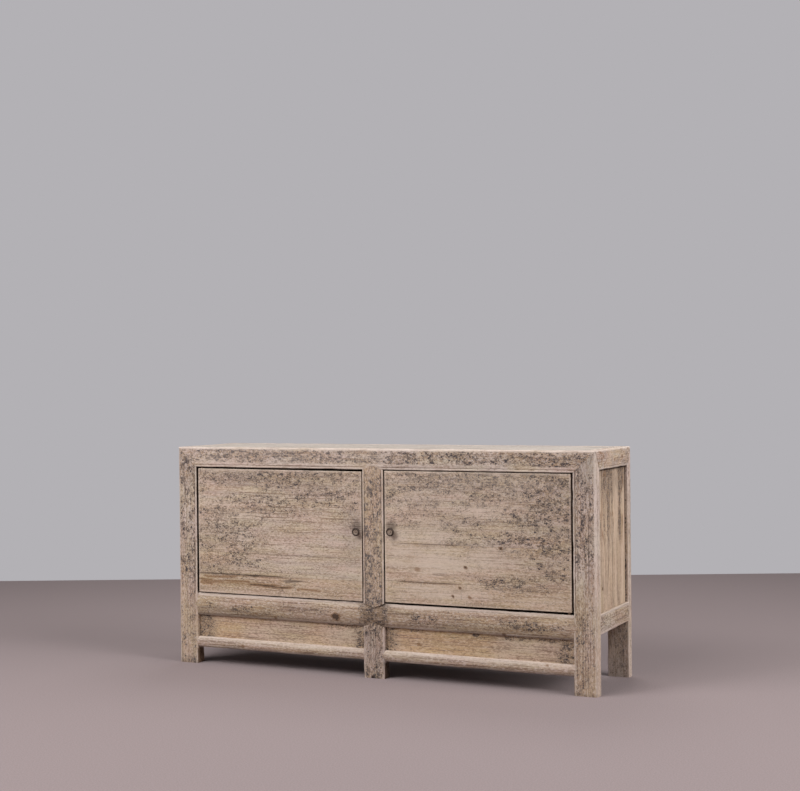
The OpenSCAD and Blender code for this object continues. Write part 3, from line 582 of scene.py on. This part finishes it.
STREAKS = [
    (-665, 308, 62, 5, 0.66), (-690, 301, 36, 4, 0.7), (-560, 311, 70, 4, 0.62), (-450, 303, 80, 5, 0.78),
    (-390, 299, 80, 4, 0.75), (-355, 297, 30, 3, 0.8), (-255, 295, 60, 4, 0.55), (-630, 326, 90, 4, 0.6),
    (-700, 314, 40, 3, 0.7), (-600, 303, 110, 3, 0.5),
    (-480, 331, 120, 3, 0.4), (540, 318, 160, 3, 0.3), (200, 341, 130, 3, 0.4), (130, 472, 60, 3, 0.3),
]

# Dirt and painted shade along the doors' seams, as first x, z, last x and strength
SEAMS = [(-730, 335, -330, 0.9), (-560, 414, -70, 0.2), (80, 343, 345, 0.55), (84, 474, 360, 0.45)]

# Knots of the front, as x, z, size and strength, and of the end rails, as y, z and size
KNOTS = [
    (327, 331, 6, 0.85), (349, 401, 8, 0.8), (301, 302, 6, 0.85), (364, 300, 7, 0.7), (169, 387, 13, 0.5),
    (476, 470, 7, 0.9), (-303, 292, 6, 0.7), (-563, 220, 6, 0.5), (-150, 206, 15, 1), (-399, 185, 7, 0.7),
    (482, 183, 8, 0.8), (-536, 75, 8, 0.6), (-195, 118, 6, 0.6), (164, 128, 7, 0.8), (374, 122, 8, 0.4),
    (-478, 196, 8, 0.5), (640, 90, 6, 0.6),
]
END_KNOTS = [(-120, 768, 9), (-98, 776, 8), (20, 762, 7), (104, 770, 9)]

# Cracks of the front posts, as place across, from, to and depth
CRACKS = {"left": [(30, 560, 700, 0.8)], "right": [(26, 300, 640, 1.3), (33, 5, 120, 1)]}

# How thick each front post's pits are, and how dark its lines
POST_PITS, POST_LINES = {"left": 0.95, "right": 0.62}, {"left": 0.3, "right": 0.7}


def patches(points, table, seed):
    """How strongly the table's soft-edged patches cover each point, by its x and z."""
    total = np.zeros(points.shape[:-1])
    wander = 0.8 * (noise(points, (130, 130, 20), seed) + 0.6 * noise(points, (30, 30, 12), seed + 1) - 0.8)
    for x, z, half_x, half_z, strength in table:
        gap = np.hypot((points[..., 0] - x) / half_x, (points[..., 2] - z) / half_z)
        total = np.maximum(total, strength * ramp(1.35 - gap + wander, 0, 1.2))
    return total


def add_streaks(part, seed):
    """Draws thin dark streaks along the grain, each with a warm fringe."""
    wobble = 7 * (noise(part.points, (90, 90, 400), seed) - 0.5)
    for x, z, half_x, half_z, strength in STREAKS:
        dx, dz = (part.points[..., 0] - x) / half_x, part.points[..., 2] - z + wobble
        fade = part.front * (1 - ramp(abs(dx), 0.6, 1.1))
        part.add(fade, knot=strength * peak(dz, 1.4 * half_z), warm=peak(dz, 5 * half_z))


def add_knots(part, seed):
    """Marks the knots of the front, each a little ragged."""
    wobble = 1 + 0.9 * (noise(part.points, 6, seed) - 0.5)
    for x, z, r, strength in KNOTS:
        dx, dz = part.points[..., 0] - x, part.points[..., 2] - z
        gap = np.hypot(dx * 0.8 + dz * 0.3, dz)
        part.add(part.front, knot=strength * (1 - ramp(gap * wobble, 0.2 * r, 1.5 * r)))


def weather(part, pits, wear=1, band=(2, 10), warm=0.5, bare=0):
    """Gives a member its common weathering: pale arrises, and pits that set in over band from them and end bare
    millimetres before the far side."""
    points, seed = part.points, part.seed
    patchy = 0.6 * noise(points, 75, seed + 3) + 0.4 * noise(points, 22, seed + 4)
    kept = 1 - ramp(part.u, part.w - bare - 4, part.w - bare + 4) if bare else 1
    rubbed = 0.25 + 0.75 * noise(points, 32, seed + 5)
    part.add(
        pits=pits * kept * ramp(part.edge, *band) * (0.5 + 0.5 * ramp(patchy, 0.3, 0.6)),
        lined=0.35 * ramp(noise(points, 90, seed + 7), 0.3, 0.7),
        wear=wear * (1 - ramp(part.edge, 3, 10)) * rubbed,
        warm=warm * ramp(noise(points, 120, seed + 6), 0.35, 0.75),
    )


# Frame members


def post_top(w, d):
    """The post's share of a mitred corner: its top falls away from the outer corner both ways."""
    return lambda u, v: CASE_TOP - np.maximum(TOP_H * u / w, END_H * v / d)


def below_rails(part):
    """Where a leg stands free below the bottom rails."""
    return 1 - ramp(part.a, FOOT_RAIL_LOW - 8, FOOT_RAIL_LOW)


def front_post(side):
    quirk = POST_W - BEAD_W
    cracks = CRACKS[side]
    place = Place(f"front_{side}_post", "+z", INWARD[side], "+y")
    part = Timber(
        place, 31 + SIDES[side], radii=(9, 3.2, 2, 3),
        lines={0: [quirk] + [crack[0] for crack in cracks], 3: [POST_D - BEAD_W]},
        ends=(flat_end(0), post_top(POST_W, POST_D)),
    )
    a, u, front = part.a, part.u, part.front
    open_here = ramp(a, OPENING_LOW - 2, OPENING_LOW + 2)
    part.quirk(quirk, open_here)
    part.side_quirk()
    # Painted shade on the inner side where it faces the door gap
    part.dirty(open_here * ramp(u, POST_W - 1, POST_W) * ramp(part.v, 1.5, 4))
    # Painted shade, dark and brown, on the inner face of the leg below the rails
    inner_leg = below_rails(part) * ramp(u, POST_W - 3, POST_W - 1)
    part.add(inner_leg, shade=0.5, knot=0.45)
    for across, low, high, depth in cracks:
        open_crack = ramp(a, low, low + 60) * (1 - ramp(a, high - 60, high))
        part.groove(u - across, depth * open_crack, 0.7)
        part.add(front, grime=0.9 * open_crack * peak(u - across, 1.6))
    weather(part, POST_PITS[side] * (0.7 + 0.3 * ramp(a, 250, 480)), wear=0.85)
    part.add(warm=0.9 * (1 - ramp(a, 150, 450)), pale=0.12 * (1 - ramp(a, 180, 320)))
    part.add(part.outer, pale=0.6 * noise(part.points, (30, 30, 120), 32))
    part.masks["pits"] *= 1 - 0.4 * part.outer
    foot = 1 - ramp(a, 4, 16)
    part.add(front, lined=POST_LINES[side], grey=0.4 * ramp(a, 600, 760), grime=0.5 * foot)
    part.make()


def rear_post(side):
    place = Place(f"rear_{side}_post", "+z", INWARD[side], "-y")
    part = Timber(
        place, 41 + SIDES[side], radii=(9, 2, 2, 3), steps=(FINE * 2, FINE * 2, FINE, FINE), step=7,
        lines={3: [REAR_D - BEAD_W]}, ends=(flat_end(0), post_top(REAR_W, REAR_D)),
    )
    part.side_quirk()
    weather(part, 0.7, warm=0.8)
    part.add(part.outer, pale=0.7 * (0.3 + 0.7 * noise(part.points, (30, 30, 120), 42)))
    part.masks["pits"] *= 1 - 0.4 * part.outer
    # Painted light on the lower front face of the rear leg, which stands in shade
    part.add(np.clip(part.facing[:, 1], 0, 1), pale=0.35 * (1 - ramp(part.a, 180, 260)))
    part.make()


def long_top_rail(which):
    """The front or rear rail of the top, mitred to the posts and the end rails."""
    rear = which == "rear"
    w, d = (REAR_W, REAR_D) if rear else (POST_W, POST_D)
    place = Place(f"top_{which}_rail", "+x", "-z", "-y" if rear else "+y")
    quirk = TOP_H - BEAD_W

    def inset(u, v):
        return np.maximum(w * u / TOP_H, END_T * v / d)

    part = Timber(
        place, 53 + rear, radii=(5, 2 if rear else 3.2, 2, 2), steps=(FINE, COARSE, COARSE, FINE * 2),
        lines=None if rear else {0: [quirk]}, step=8 if rear else FINE,
        ends=(inset, lambda u, v: place.size[0] - inset(u, v)), arris=1.6,
    )
    points, u = part.points, part.u
    x = points[..., 0]
    if not rear:
        part.quirk(quirk, ramp(abs(x), CENTRE_X - 6, CENTRE_X - 4))
        # Painted shade on the lower face above the door gap
        part.dirty(ramp(u, TOP_H - 1, TOP_H) * ramp(part.v, 1.5, 4))
    weather(part, 0.6 if rear else 1, bare=0 if rear else 20)
    # Paler top and top edge: worn, and partly a painted highlight along the rounded top edge
    part.add(1 - ramp(u, 2, 8), pale=0.9 * noise(points, 40, 3))
    # Painted light on the left part of the face
    part.add(part.front, pale=0.35 * (1 - ramp(x, -50, 250)) * noise(points, (160, 40, 30), 13))
    part.add(part.outer, grey=0.25)
    part.make()


def end_rail(side):
    """A short rail of the top, with its face on the outside of the case."""
    place = Place(f"top_{side}_rail", "+y", "-z", INWARD[side])
    length = place.size[0]
    part = Timber(
        place, 61 + SIDES[side], radii=(5, 2.5, 2, 2), steps=(FINE, COARSE, COARSE, FINE * 2),
        ends=(lambda u, v: np.maximum(POST_D * u / END_H, POST_D * v / END_T),
              lambda u, v: length - np.maximum(REAR_D * u / END_H, REAR_D * v / END_T)),
    )
    points, u, front = part.points, part.u, part.front
    weather(part, 0.45, warm=0.7)
    part.add(part.outer, pale=0.8 * noise(points, 40, 3), grey=0.25)
    swirl = noise(points, (60, 26, 14), 62)
    ends = 1 - ramp(abs(part.a - length / 2), 70, 30)
    # Along the bottom edge the grime is painted shade, at the joint above the side boards
    part.add(
        front, lined=0.9, knot=0.65 * peak(swirl - 0.5, 0.045) * ramp(ends, -0.5, 1),
        grey=0.4 * ramp(swirl, 0.55, 0.7), grime=0.9 * ramp(u, END_H - 4, END_H - 1),
    )
    # Painted shade on the underside, over the side boards
    part.dirty(part.facing[:, 0] * ramp(part.v, 2, 8))
    for y, z, r in END_KNOTS:
        gap = np.hypot(points[..., 1] - y, (points[..., 2] - z) * 1.3)
        part.add(front, knot=0.8 * (1 - ramp(gap * (0.7 + 0.6 * swirl), 0.3 * r, 1.4 * r)))
    part.make()


def swelled_rail(node, ends, seed, point, swell, arris=1.2):
    """A rail along the front with a rounded face and pointed shoulders."""
    place = Place(node, "+x", "+z", "+y", x=ends)
    length, h, _ = place.size
    return Timber(
        place, seed, radii=(4, 2, 2, 4), steps=(FINE, COARSE, COARSE, COARSE), arris=arris,
        ends=(pointed(0, point, h, -1), pointed(length, point, h, 1)), bulge=arc_back(h, swell),
    )


def mid_rail():
    part = swelled_rail("mid_rail", (-POST_LOW[0], POST_LOW[0]), 71, MID_POINT, MID_SWELL)
    points, u, front = part.points, part.u, part.front
    h = part.w
    # Painted shade and soiling on the ledge above the rail, in front of the door
    part.dirty(ramp(u, h - 1, h) * ramp(part.v, 1, 3))
    weather(part, 0.3, warm=1)
    crossing = 1 - ramp(abs(points[..., 0]), 26, 80)
    part.add(pits=np.maximum(0.9 * crossing, patches(points, MID_RAIL_PITS, 72)))
    # Painted shade that deepens toward the rail's lower edge, a painted highlight along its top edge, and soiling
    # at the crossing
    part.add(
        front, warm=0.9, lined=0.9, shade=0.1 + 0.14 * (1 - ramp(u, 10, 45)),
        grime=np.maximum(0.45 * crossing, 0.55 * (1 - ramp(u, 4, 16))),
        pale=ramp(u, h - 16, h - 5) * (1 - crossing),
    )
    part.add(front, grime=patches(points, MID_RAIL_GRIME, 74))
    add_knots(part, 73)
    part.make()


def bottom_rail(side):
    sign = SIDES[side]
    ends = sorted((sign * CENTRE_X, sign * POST_LOW[0]))
    part = swelled_rail(f"bottom_{side}_rail", ends, 81 + sign, FOOT_POINT, FOOT_SWELL, arris=2)
    u, front = part.u, part.front
    weather(part, 0.15 if sign < 0 else 0.22, band=(3, 9))
    part.add(lined=0.8, warm=0.7)
    # A painted highlight on the upper part of the face, and painted shade along the lower edge
    pale = 0.5 * ramp(u, part.w * 0.35, part.w * 0.7)
    part.add(front, pale=pale, shade=0.06, grime=0.5 * (1 - ramp(u, 2, 14)))
    add_knots(part, 83)
    part.make()


def centre_post():
    place = Place("front_centre_post", "+z", "+x", "+y", z=(OPENING_LOW, OPENING_HIGH))
    length, w, _ = place.size
    quirks = [BEAD_W, w - BEAD_W]
    part = Timber(
        place, 91, radii=(3.2, 3.2, 2, 2), lines={0: quirks}, steps=(FINE, FINE, COARSE, FINE), arris=1.5,
        ends=(pointed(0, POST_POINT, w, -1), pointed(length, POST_POINT, w, 1)),
    )
    for quirk in quirks:
        part.quirk(quirk)
    # Painted shade on the sides that face the door gaps
    part.dirty((1 - part.front) * ramp(part.v, 1.5, 4))
    weather(part, 0.9, warm=1)
    part.add(part.front, warm=0.85, pale=0.12)
    part.make()


def centre_leg():
    """The leg below the middle rail, with a notch worn into its foot."""
    place = Place("front_centre_leg", "+z", "+x", "+y", z=(0, MID_LOW[2]))
    length, w, _ = place.size
    notch_x, notch_w, notch_h, notch_d = w / 2 - 5, 5.5, 13, 14

    def foot(u, v):
        return notch_h * np.clip(1 - abs(u - notch_x) / notch_w, 0, 1) * (v < notch_d)

    ends = foot, pointed(length, POST_POINT, w, 1)
    part = Timber(place, 101, radii=(3, 3, 2, 2), lines={0: [notch_x]}, ends=ends, arris=2.2)
    weather(part, 0.8, wear=0.7)
    part.add(part.front, grime=0.3 * noise(part.points, 30, 4))
    # Painted shade, dark and brown, on the leg's sides and back below the rails
    part.add((1 - part.front) * below_rails(part), shade=0.95, knot=0.4)
    part.add(shade=0.12)
    part.make()


def side_rail(side):
    place = Place(f"{side}_side_rail", "+y", "+z", INWARD[side], y=(POST_HIGH[1], REAR_LOW[1]))
    h = place.size[1]
    part = Timber(place, 111 + SIDES[side], radii=(3, 3, 2, 2), lines={0: [h - BEAD_W]}, seam=0.4)
    u, front = part.u, part.front
    part.groove(u - (h - BEAD_W), 1.1)
    weather(part, 0.4, warm=0.7)
    part.add(front, lined=0.8, pale=ramp(u, h - 12, h - 7), shade=0.12)
    part.make()


# Boards


def board(place, seed, pits=0.4, warm=0.4, wear=0.6, radii=(1, 1, 1, 1), step=8, seam=0.8):
    """A flat board in its place, plain but for its weathering."""
    part = Timber(place, seed, radii, steps=(step, COARSE, step * 2, COARSE), step=step, seam=seam, arris=0.6)
    weather(part, pits, wear=wear, warm=warm, band=(2, 14))
    return part


def apron(side):
    place = Place(f"{side}_apron_panel", "+x", "+z", "+y")
    part = board(place, 121 + SIDES[side], pits=0.13, warm=0.95, wear=0, step=6)
    x, z = abs(part.points[..., 0]), part.points[..., 2]
    part.add(ramp(x, 630, 715) + 1 - ramp(x, 45, 110), pits=0.95, grey=0.5)
    high = ramp(z, MID_LOW[2] - 22, MID_LOW[2] - 6)
    part.add(high, pits=0.8 * ramp(noise(part.points, 60, 5), 0.4, 0.6))
    add_knots(part, 123)
    part.make("panel_wood")


def side_board(side, which, index):
    """An upright board of an end, streaked, with a grey and pitted top."""
    sign = SIDES[side]
    name = f"{side}_side_{which}_board"
    low, high = span(name)
    place = Place(name, "+z", "+y", INWARD[side], y=(low[1] - LAP * (index > 0), high[1] + LAP * (index < 2)))
    part = board(place, 141 + 3 * sign + index, pits=0.25, radii=(1.5, 1.5, 1, 1), step=6)
    points = part.points
    y, z = points[..., 1], points[..., 2]
    upper = ramp(z + 60 * noise(points, 50, 6), 420, 620)
    top = ramp(z + 90 * noise(points, (99, 30, 60), 7), 620, 760)
    streak = 0.7 * noise(points, (200, 25, 300), 131 + sign) + 0.3 * noise(points, (99, 9, 70), 133)
    part.add(
        pits=(0.25 + 0.75 * upper) * ramp(streak, 0.42, 0.6), grey=0.7 * upper * ramp(streak, 0.4, 0.6),
        warm=0.6 * ramp(streak, 0.52, 0.36), pale=0.9 * ramp(streak, 0.46, 0.36) + 0.5 * (1 - upper),
        shade=0.2 * ramp(streak, 0.52, 0.62), lined=1,
        knot=(0.3 + 0.2 * upper) * peak(streak - 0.43, 0.035) * ramp(noise(points, 60, 9), 0.25, 0.55),
        grime=0.6 * peak(streak - 0.56, 0.03) * ramp(noise(points, 60, 10), 0.3, 0.6),
    )
    part.add(top, pits=0.95, grey=0.8, shade=0.2)
    # Painted shade and soiling at the joint with the rear post and under the end rail
    part.dirty(part.front * ramp(y, REAR_LOW[1] - 4, REAR_LOW[1] - 1))
    part.dirty(part.front * ramp(z, END_LOW[2] - 7, END_LOW[2] - 3))
    part.add(knot=0.9 * (1 - ramp(np.hypot(y + 91, z - 340), 2, 11)))
    part.make("panel_wood")


def top_board(which, index):
    """A board of the top, pale and grey, a joint's width inside the rails."""
    name = f"top_{which}_board"
    low, high = span(name)
    x = END_LOW[0] - TOP_JOINT
    y = max(low[1], POST_HIGH[1] + TOP_JOINT), min(high[1], REAR_LOW[1] - TOP_JOINT)
    place = Place(name, "+x", "+y", "-z", x=(-x, x), y=y)
    part = board(place, 151 + index, pits=0.5, radii=(1.2, 1.2, 1, 1))
    part.add(pale=0.5 + 0.5 * noise(part.points, 90, 10), grey=0.35 * noise(part.points, (200, 40, 40), 12))
    part.make("panel_wood", material=WOODS["top_wood"])


def inner_boards():
    """The boards of the back, the floor and the shelf, and the rear frame."""
    for index, (side, half) in enumerate(product(SIDES, ("upper", "lower"))):
        name = f"back_{side}_{half}_board"
        low, high = span(name)
        z = low[2] - LAP * (half == "upper"), high[2] + LAP * (half == "lower")
        board(Place(name, "+x", "+z", "-y", z=z), 161 + index, step=12).make("inner_wood")
    for index, (level, half) in enumerate(product(("floor", "shelf"), ENDS)):
        place = Place(f"{level}_{half}_board", "+x", "+y", "-z")
        board(place, 171 + index, wear=0.3, step=12).make("inner_wood")
    rear_frame = {"radii": (2, 2, 1, 1), "step": 12, "seam": 0.4}
    low, high = span("rear_centre_post")
    for side, sign in SIDES.items():
        place = Place(f"rear_{side}_rail", "+x", "+z", "-y", x=sorted((sign * high[0], sign * REAR_LOW[0])))
        board(place, 181 + sign, **rear_frame).make("inner_wood")
    place = Place("rear_centre_post", "+z", "+x", "-y", z=(low[2], OPENING_HIGH))
    board(place, 191, **rear_frame).make("inner_wood")


# Doors

# Rounding of the hinge edges, and how far the right door's foot and the left door's head run off true
HINGE_R = {"left": 4.6, "right": 3.5}
RIGHT_FOOT_RISE, LEFT_HEAD_FALL = 2, 1.8


def door_board(side, which, index):
    """One board of a door, swept upward so that its hinge edge can be rounded, with its grain across."""
    sign = SIDES[side]
    place = Place(f"{side}_door_{which}_board", "+z", "+x" if sign > 0 else "-x", "+y")
    height, w, _ = place.size
    rise = RIGHT_FOOT_RISE * (which == "lower") * (sign > 0)
    fall = LEFT_HEAD_FALL * (which == "upper") * (sign < 0)
    part = Timber(
        place, 201 + 5 * sign + index, radii=(1.8, HINGE_R[side], HINGE_R[side], 1.5), steps=(4, 4, 12, 4), step=4,
        ends=(lambda u, v: rise * u / w, lambda u, v: height - fall * (1 - u / w)),
        grain="uav", seam=0.9, arris=0.5,
    )
    points, front = part.points, part.front
    x, z = points[..., 0], points[..., 2]
    door_low = span(f"{side}_door_lower_board")[0][2]
    door_high = span(f"{side}_door_upper_board")[1][2]
    rim = np.minimum(np.minimum(part.u, w - part.u), np.minimum(z - door_low, door_high - z))
    part.add(front, wear=(1 - ramp(rim, 3, 9)) * (0.4 + 0.6 * noise(points, 30, 6)))
    # Painted shade on the deep edges that face the gaps round the door
    part.dirty(0.6 * ramp(part.v, 1.5, 6) * (1 - ramp(rim, 0.5, 2)))

    broken = 0.6 * noise(points, (60, 60, 26), 211) + 0.4 * noise(points, (26, 26, 11), 212)
    cover = patches(points, PIT_PATCHES, 213) * (0.4 + 0.6 * front)
    spread = ramp(z, 520, 640) + (sign < 0) * (1 - ramp(x, -520, -330)) * ramp(z, 300, 380)
    least = (0.3 + 0.25 * np.minimum(spread, 1)) * ramp(broken, 0.2, 0.6)
    part.add(pits=np.clip(cover * (0.7 + 0.4 * ramp(broken, 0.25, 0.7)), least, 0.9))
    add_streaks(part, 214)
    add_knots(part, 215)
    part.add(warm=0.8 * (which == "lower") + 0.5 * (which == "middle") * (sign > 0))
    part.add(
        warm=0.6 * patches(points, WARM_PATCHES, 216), lined=0.75 * patches(points, LINED_PATCHES, 217),
        grey=0.3 * patches(points, GREY_PATCHES, 218), pale=patches(points, PALE_AND_LIT_PATCHES, 219),
    )
    uneven = 0.6 + 0.4 * noise(points, 25, 8)
    for first, seam_z, last, strength in SEAMS:
        along = ramp(x, first, first + 20) * (1 - ramp(x, last - 60, last))
        part.dirty(front * strength * along * peak(z - seam_z, 2.4) * uneven)

    # A smudge of dirt above the knob, and painted light below it where the knob's shadow falls
    low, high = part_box(f"{side}_knob")
    knob_x, _, knob_z = np.array(low + high) / 2 / METRES
    gap = np.hypot((x - knob_x + 3) * 0.8, z - knob_z - 20)
    smudge = front * (1 - ramp(gap, 6, 26)) * ramp(noise(points, 9, 7), -0.3, 0.35)
    part.add(smudge, grime=0.95, shade=0.2)
    below = np.hypot(x - knob_x - 12, z - knob_z + 12)
    part.add(front, pale=0.9 * (1 - ramp(below, 14, 32)))
    part.make("door_wood", f"{side}_door")


# Half sections of a knob 30 across and of its pin, as radius and depth behind the knob's front
KNOB_R = 15
KNOB_PROFILE = [
    (6, 16), (8, 15.5), (8.5, 14), (7.5, 12.5), (7, 11), (8.5, 9), (12, 7.6), (14.2, 6.4), (15, 4.6), (14.7, 2.6),
    (13.6, 0.9), (12.2, 0.2), (11, 0.35), (10.4, 1.3), (9.6, 1.6), (8, 2), (5.5, 2.6), (3.6, 2.9), (3.2, 4),
]
PIN_PROFILE = [(3, 6), (3, 2.2), (2.6, 1.3), (1.8, 0.8), (0.9, 0.6)]
TURNED_POINTS = 72


def knob(side):
    """A turned knob with a dished face, and the pin in its middle."""
    low, high = span(f"{side}_knob")
    middle, front = (low + high) / 2, low[1]
    turned(f"{side}_knob", side, middle, (high[0] - low[0]) / 2 / KNOB_R, front, KNOB_PROFILE, 221)
    turned(f"{side}_knob_pin", side, middle, 1, front, PIN_PROFILE, 231)


def turned(node, side, middle, scale, front, profile, seed):
    """Turns a profile of radius and depth behind the front, round an axis along Y."""
    r, depth = np.array(profile, float).T
    r = r * scale
    angle = np.linspace(0, 2 * math.pi, TURNED_POINTS, endpoint=False)
    rows = np.zeros((len(r), TURNED_POINTS, 3))
    rows[..., 0] = middle[0] + r[:, None] * np.cos(angle)
    rows[..., 1] = front + depth[:, None]
    rows[..., 2] = middle[2] + r[:, None] * np.sin(angle)
    mesh = skin(node + "_turned", rows, True)
    # Dirt in the dished face, and painted shade on the rim and on the back toward the door
    rim = ramp(r, 8, 9.6)
    dish = ramp(depth, 2.2, 3.5) * (r < 6)
    none = 0 * rim
    dirt_and_rim_shade = np.clip(0.95 * dish + 0.8 * ramp(depth, 4, 8) + 0.95 * rim, 0, 1)
    store(mesh, "grain", rows[..., [1, 0, 2]] * METRES + seed)
    for attribute, held in ("weather", dirt_and_rim_shade), ("tone", 0.8 * (1 - rim)), ("figure", 0.9 * rim):
        values = np.stack([none, none, held], -1)
        store(mesh, attribute, np.repeat(values[:, None], TURNED_POINTS, 1))
    finish_piece(mesh, f"{side}_door", "knob_wood", WOODS["knob_wood"], node)


def build_object():
    for side in SIDES:
        for member in front_post, rear_post, end_rail, bottom_rail, side_rail, apron:
            member(side)
        for index, which in enumerate(("front", "middle", "rear")):
            side_board(side, which, index)
        for index, which in enumerate(("upper", "middle", "lower")):
            door_board(side, which, index)
        knob(side)
    for which in ENDS:
        long_top_rail(which)
    mid_rail()
    centre_post()
    centre_leg()
    for index, which in enumerate(ENDS):
        top_board(which, index)
    inner_boards()


# The frame's own hidden parts, by the axis of their grain, and how far their edges are softened
SOFTENED = 1
NODE_GRAIN = {
    "y": ["floor_bearers"] + [form.format(where) for where in ("left", "centre", "right")
                              for form in ("top_{}_batten", "shelf_{}_bearer")],
    "z": ["door_stop"] + [f"{side}_door_{form}" for side in SIDES
                          for form in ("hinge_batten", "meeting_batten", "pivot_pins")],
}


def dress_nodes():
    """Softens the edges of the frame's own hidden parts and gives them wood along their grain."""
    for axis, names in NODE_GRAIN.items():
        for name in names:
            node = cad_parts[name]
            for slot in node.material_slots:
                slot.material = NODE_WOOD[axis]
            soften = node.modifiers.new("softened edges", "BEVEL")
            soften.width = SOFTENED * METRES
            soften.segments = 2
            soften.limit_method = "ANGLE"
            soften.angle_limit = math.radians(40)


# Stage

# The photograph's viewpoint, found from the case's own edges: turns in radians, and the lens in pixels
CAMERA_PLACE = (2264.5, -4659.75, 1002.2)
YAW, PITCH, ROLL = -0.4491, 0.0036, -0.0098
IMAGE_W, FOCAL = 800, 1439.6
SENSOR_W = 36

# The floor's reach past the case, toward the camera and to each side, in metres
FLOOR_FAR, FLOOR_NEAR, FLOOR_SIDE = 2.54, 9, 9
FLOOR_TONES = srgb(131, 117, 117), srgb(145, 131, 131)
BACKDROP = srgb(179, 177, 181)
SKY_STRENGTH = 0.05

# Soft square lamps, as name, place, size and watts, and the point they face, in metres
LAMPS = [
    ("left_lamp", (-2.4, -3.4, 3.2), 2.4, 150),
    ("front_lamp", (-0.4, -2.8, 4.2), 2, 84),
    ("right_lamp", (3.4, -0.8, 3.6), 2, 84),
    ("side_lamp", (4.2, -0.2, 2.6), 2.4, 95),
    ("rear_lamp", (-0.6, 2.2, 4.4), 2, 55),
]
LAMP_AIM = (0, 0, 0.4)


def set_camera():
    """Sets the camera up, and gives its directions forward and level to the right."""
    forward = Vector((math.sin(YAW) * math.cos(PITCH), math.cos(YAW) * math.cos(PITCH), -math.sin(PITCH)))
    level = Vector((math.cos(YAW), -math.sin(YAW), 0))
    upright = level.cross(forward)
    right = level * math.cos(ROLL) + upright * math.sin(ROLL)
    up = upright * math.cos(ROLL) - level * math.sin(ROLL)
    turn = Matrix((right, up, -forward)).transposed().to_4x4()
    camera = bpy.data.objects.new("camera", bpy.data.cameras.new("camera"))
    camera.data.sensor_width = SENSOR_W
    camera.data.lens = SENSOR_W * FOCAL / IMAGE_W
    camera.matrix_world = Matrix.Translation(Vector(CAMERA_PLACE) * METRES) @ turn
    bpy.context.scene.collection.objects.link(camera)
    bpy.context.scene.camera = camera
    return forward, level


def set_floor(forward, level):
    """A plain floor that ends behind the case, where the photograph's wall begins."""
    ahead = Vector((forward.x, forward.y, 0)).normalized()
    near, far, wide = -FLOOR_NEAR * ahead, FLOOR_FAR * ahead, FLOOR_SIDE * level
    corners = near - wide, near + wide, far + wide, far - wide
    mesh = bpy.data.meshes.new("floor")
    mesh.from_pydata(corners, [], [(0, 1, 2, 3)])
    g = Graph(bpy.data.materials.new("floor"))
    pile = g.noise(g.scaled(g.add("TexCoord", {}, output=3), 220, 220, 220), 3, 0.7)
    g.surface({"Base Color": g.mix(g.ramp(pile, 0.3, 0.7), *FLOOR_TONES), "Roughness": 0.95})
    mesh.materials.append(g.holder)
    floor = bpy.data.objects.new("floor", mesh)
    bpy.context.scene.collection.objects.link(floor)


def set_world():
    """Even light all round, behind a plain pale background."""
    g = Graph(bpy.data.worlds.new("studio"))
    g.tree.nodes.clear()
    seen = 0
    for ray in ("Is Camera Ray", "Is Glossy Ray", "Is Transmission Ray"):
        seen = g.maths("MAXIMUM", seen, g.add("LightPath", {}, output=ray))
    light = g.add("Background", {"Color": (1, 1, 1, 1), "Strength": SKY_STRENGTH})
    both = g.add("MixShader", {0: seen, 1: light, 2: g.add("Background", {"Color": BACKDROP})})
    g.feed(g.tree.nodes.new("ShaderNodeOutputWorld").inputs["Surface"], both)
    bpy.context.scene.world = g.holder


def lamp(name, place, size, watts):
    light = bpy.data.lights.new(name, "AREA")
    light.size = size
    light.energy = watts
    holder = bpy.data.objects.new(name, light)
    holder.location = place
    aim = Vector(LAMP_AIM) - Vector(place)
    holder.rotation_euler = aim.to_track_quat("-Z", "Y").to_euler()
    bpy.context.scene.collection.objects.link(holder)


build_object()
dress_nodes()
set_floor(*set_camera())
set_world()
for lamp_facts in LAMPS:
    lamp(*lamp_facts)
bpy.context.scene.view_settings.view_transform = "Standard"
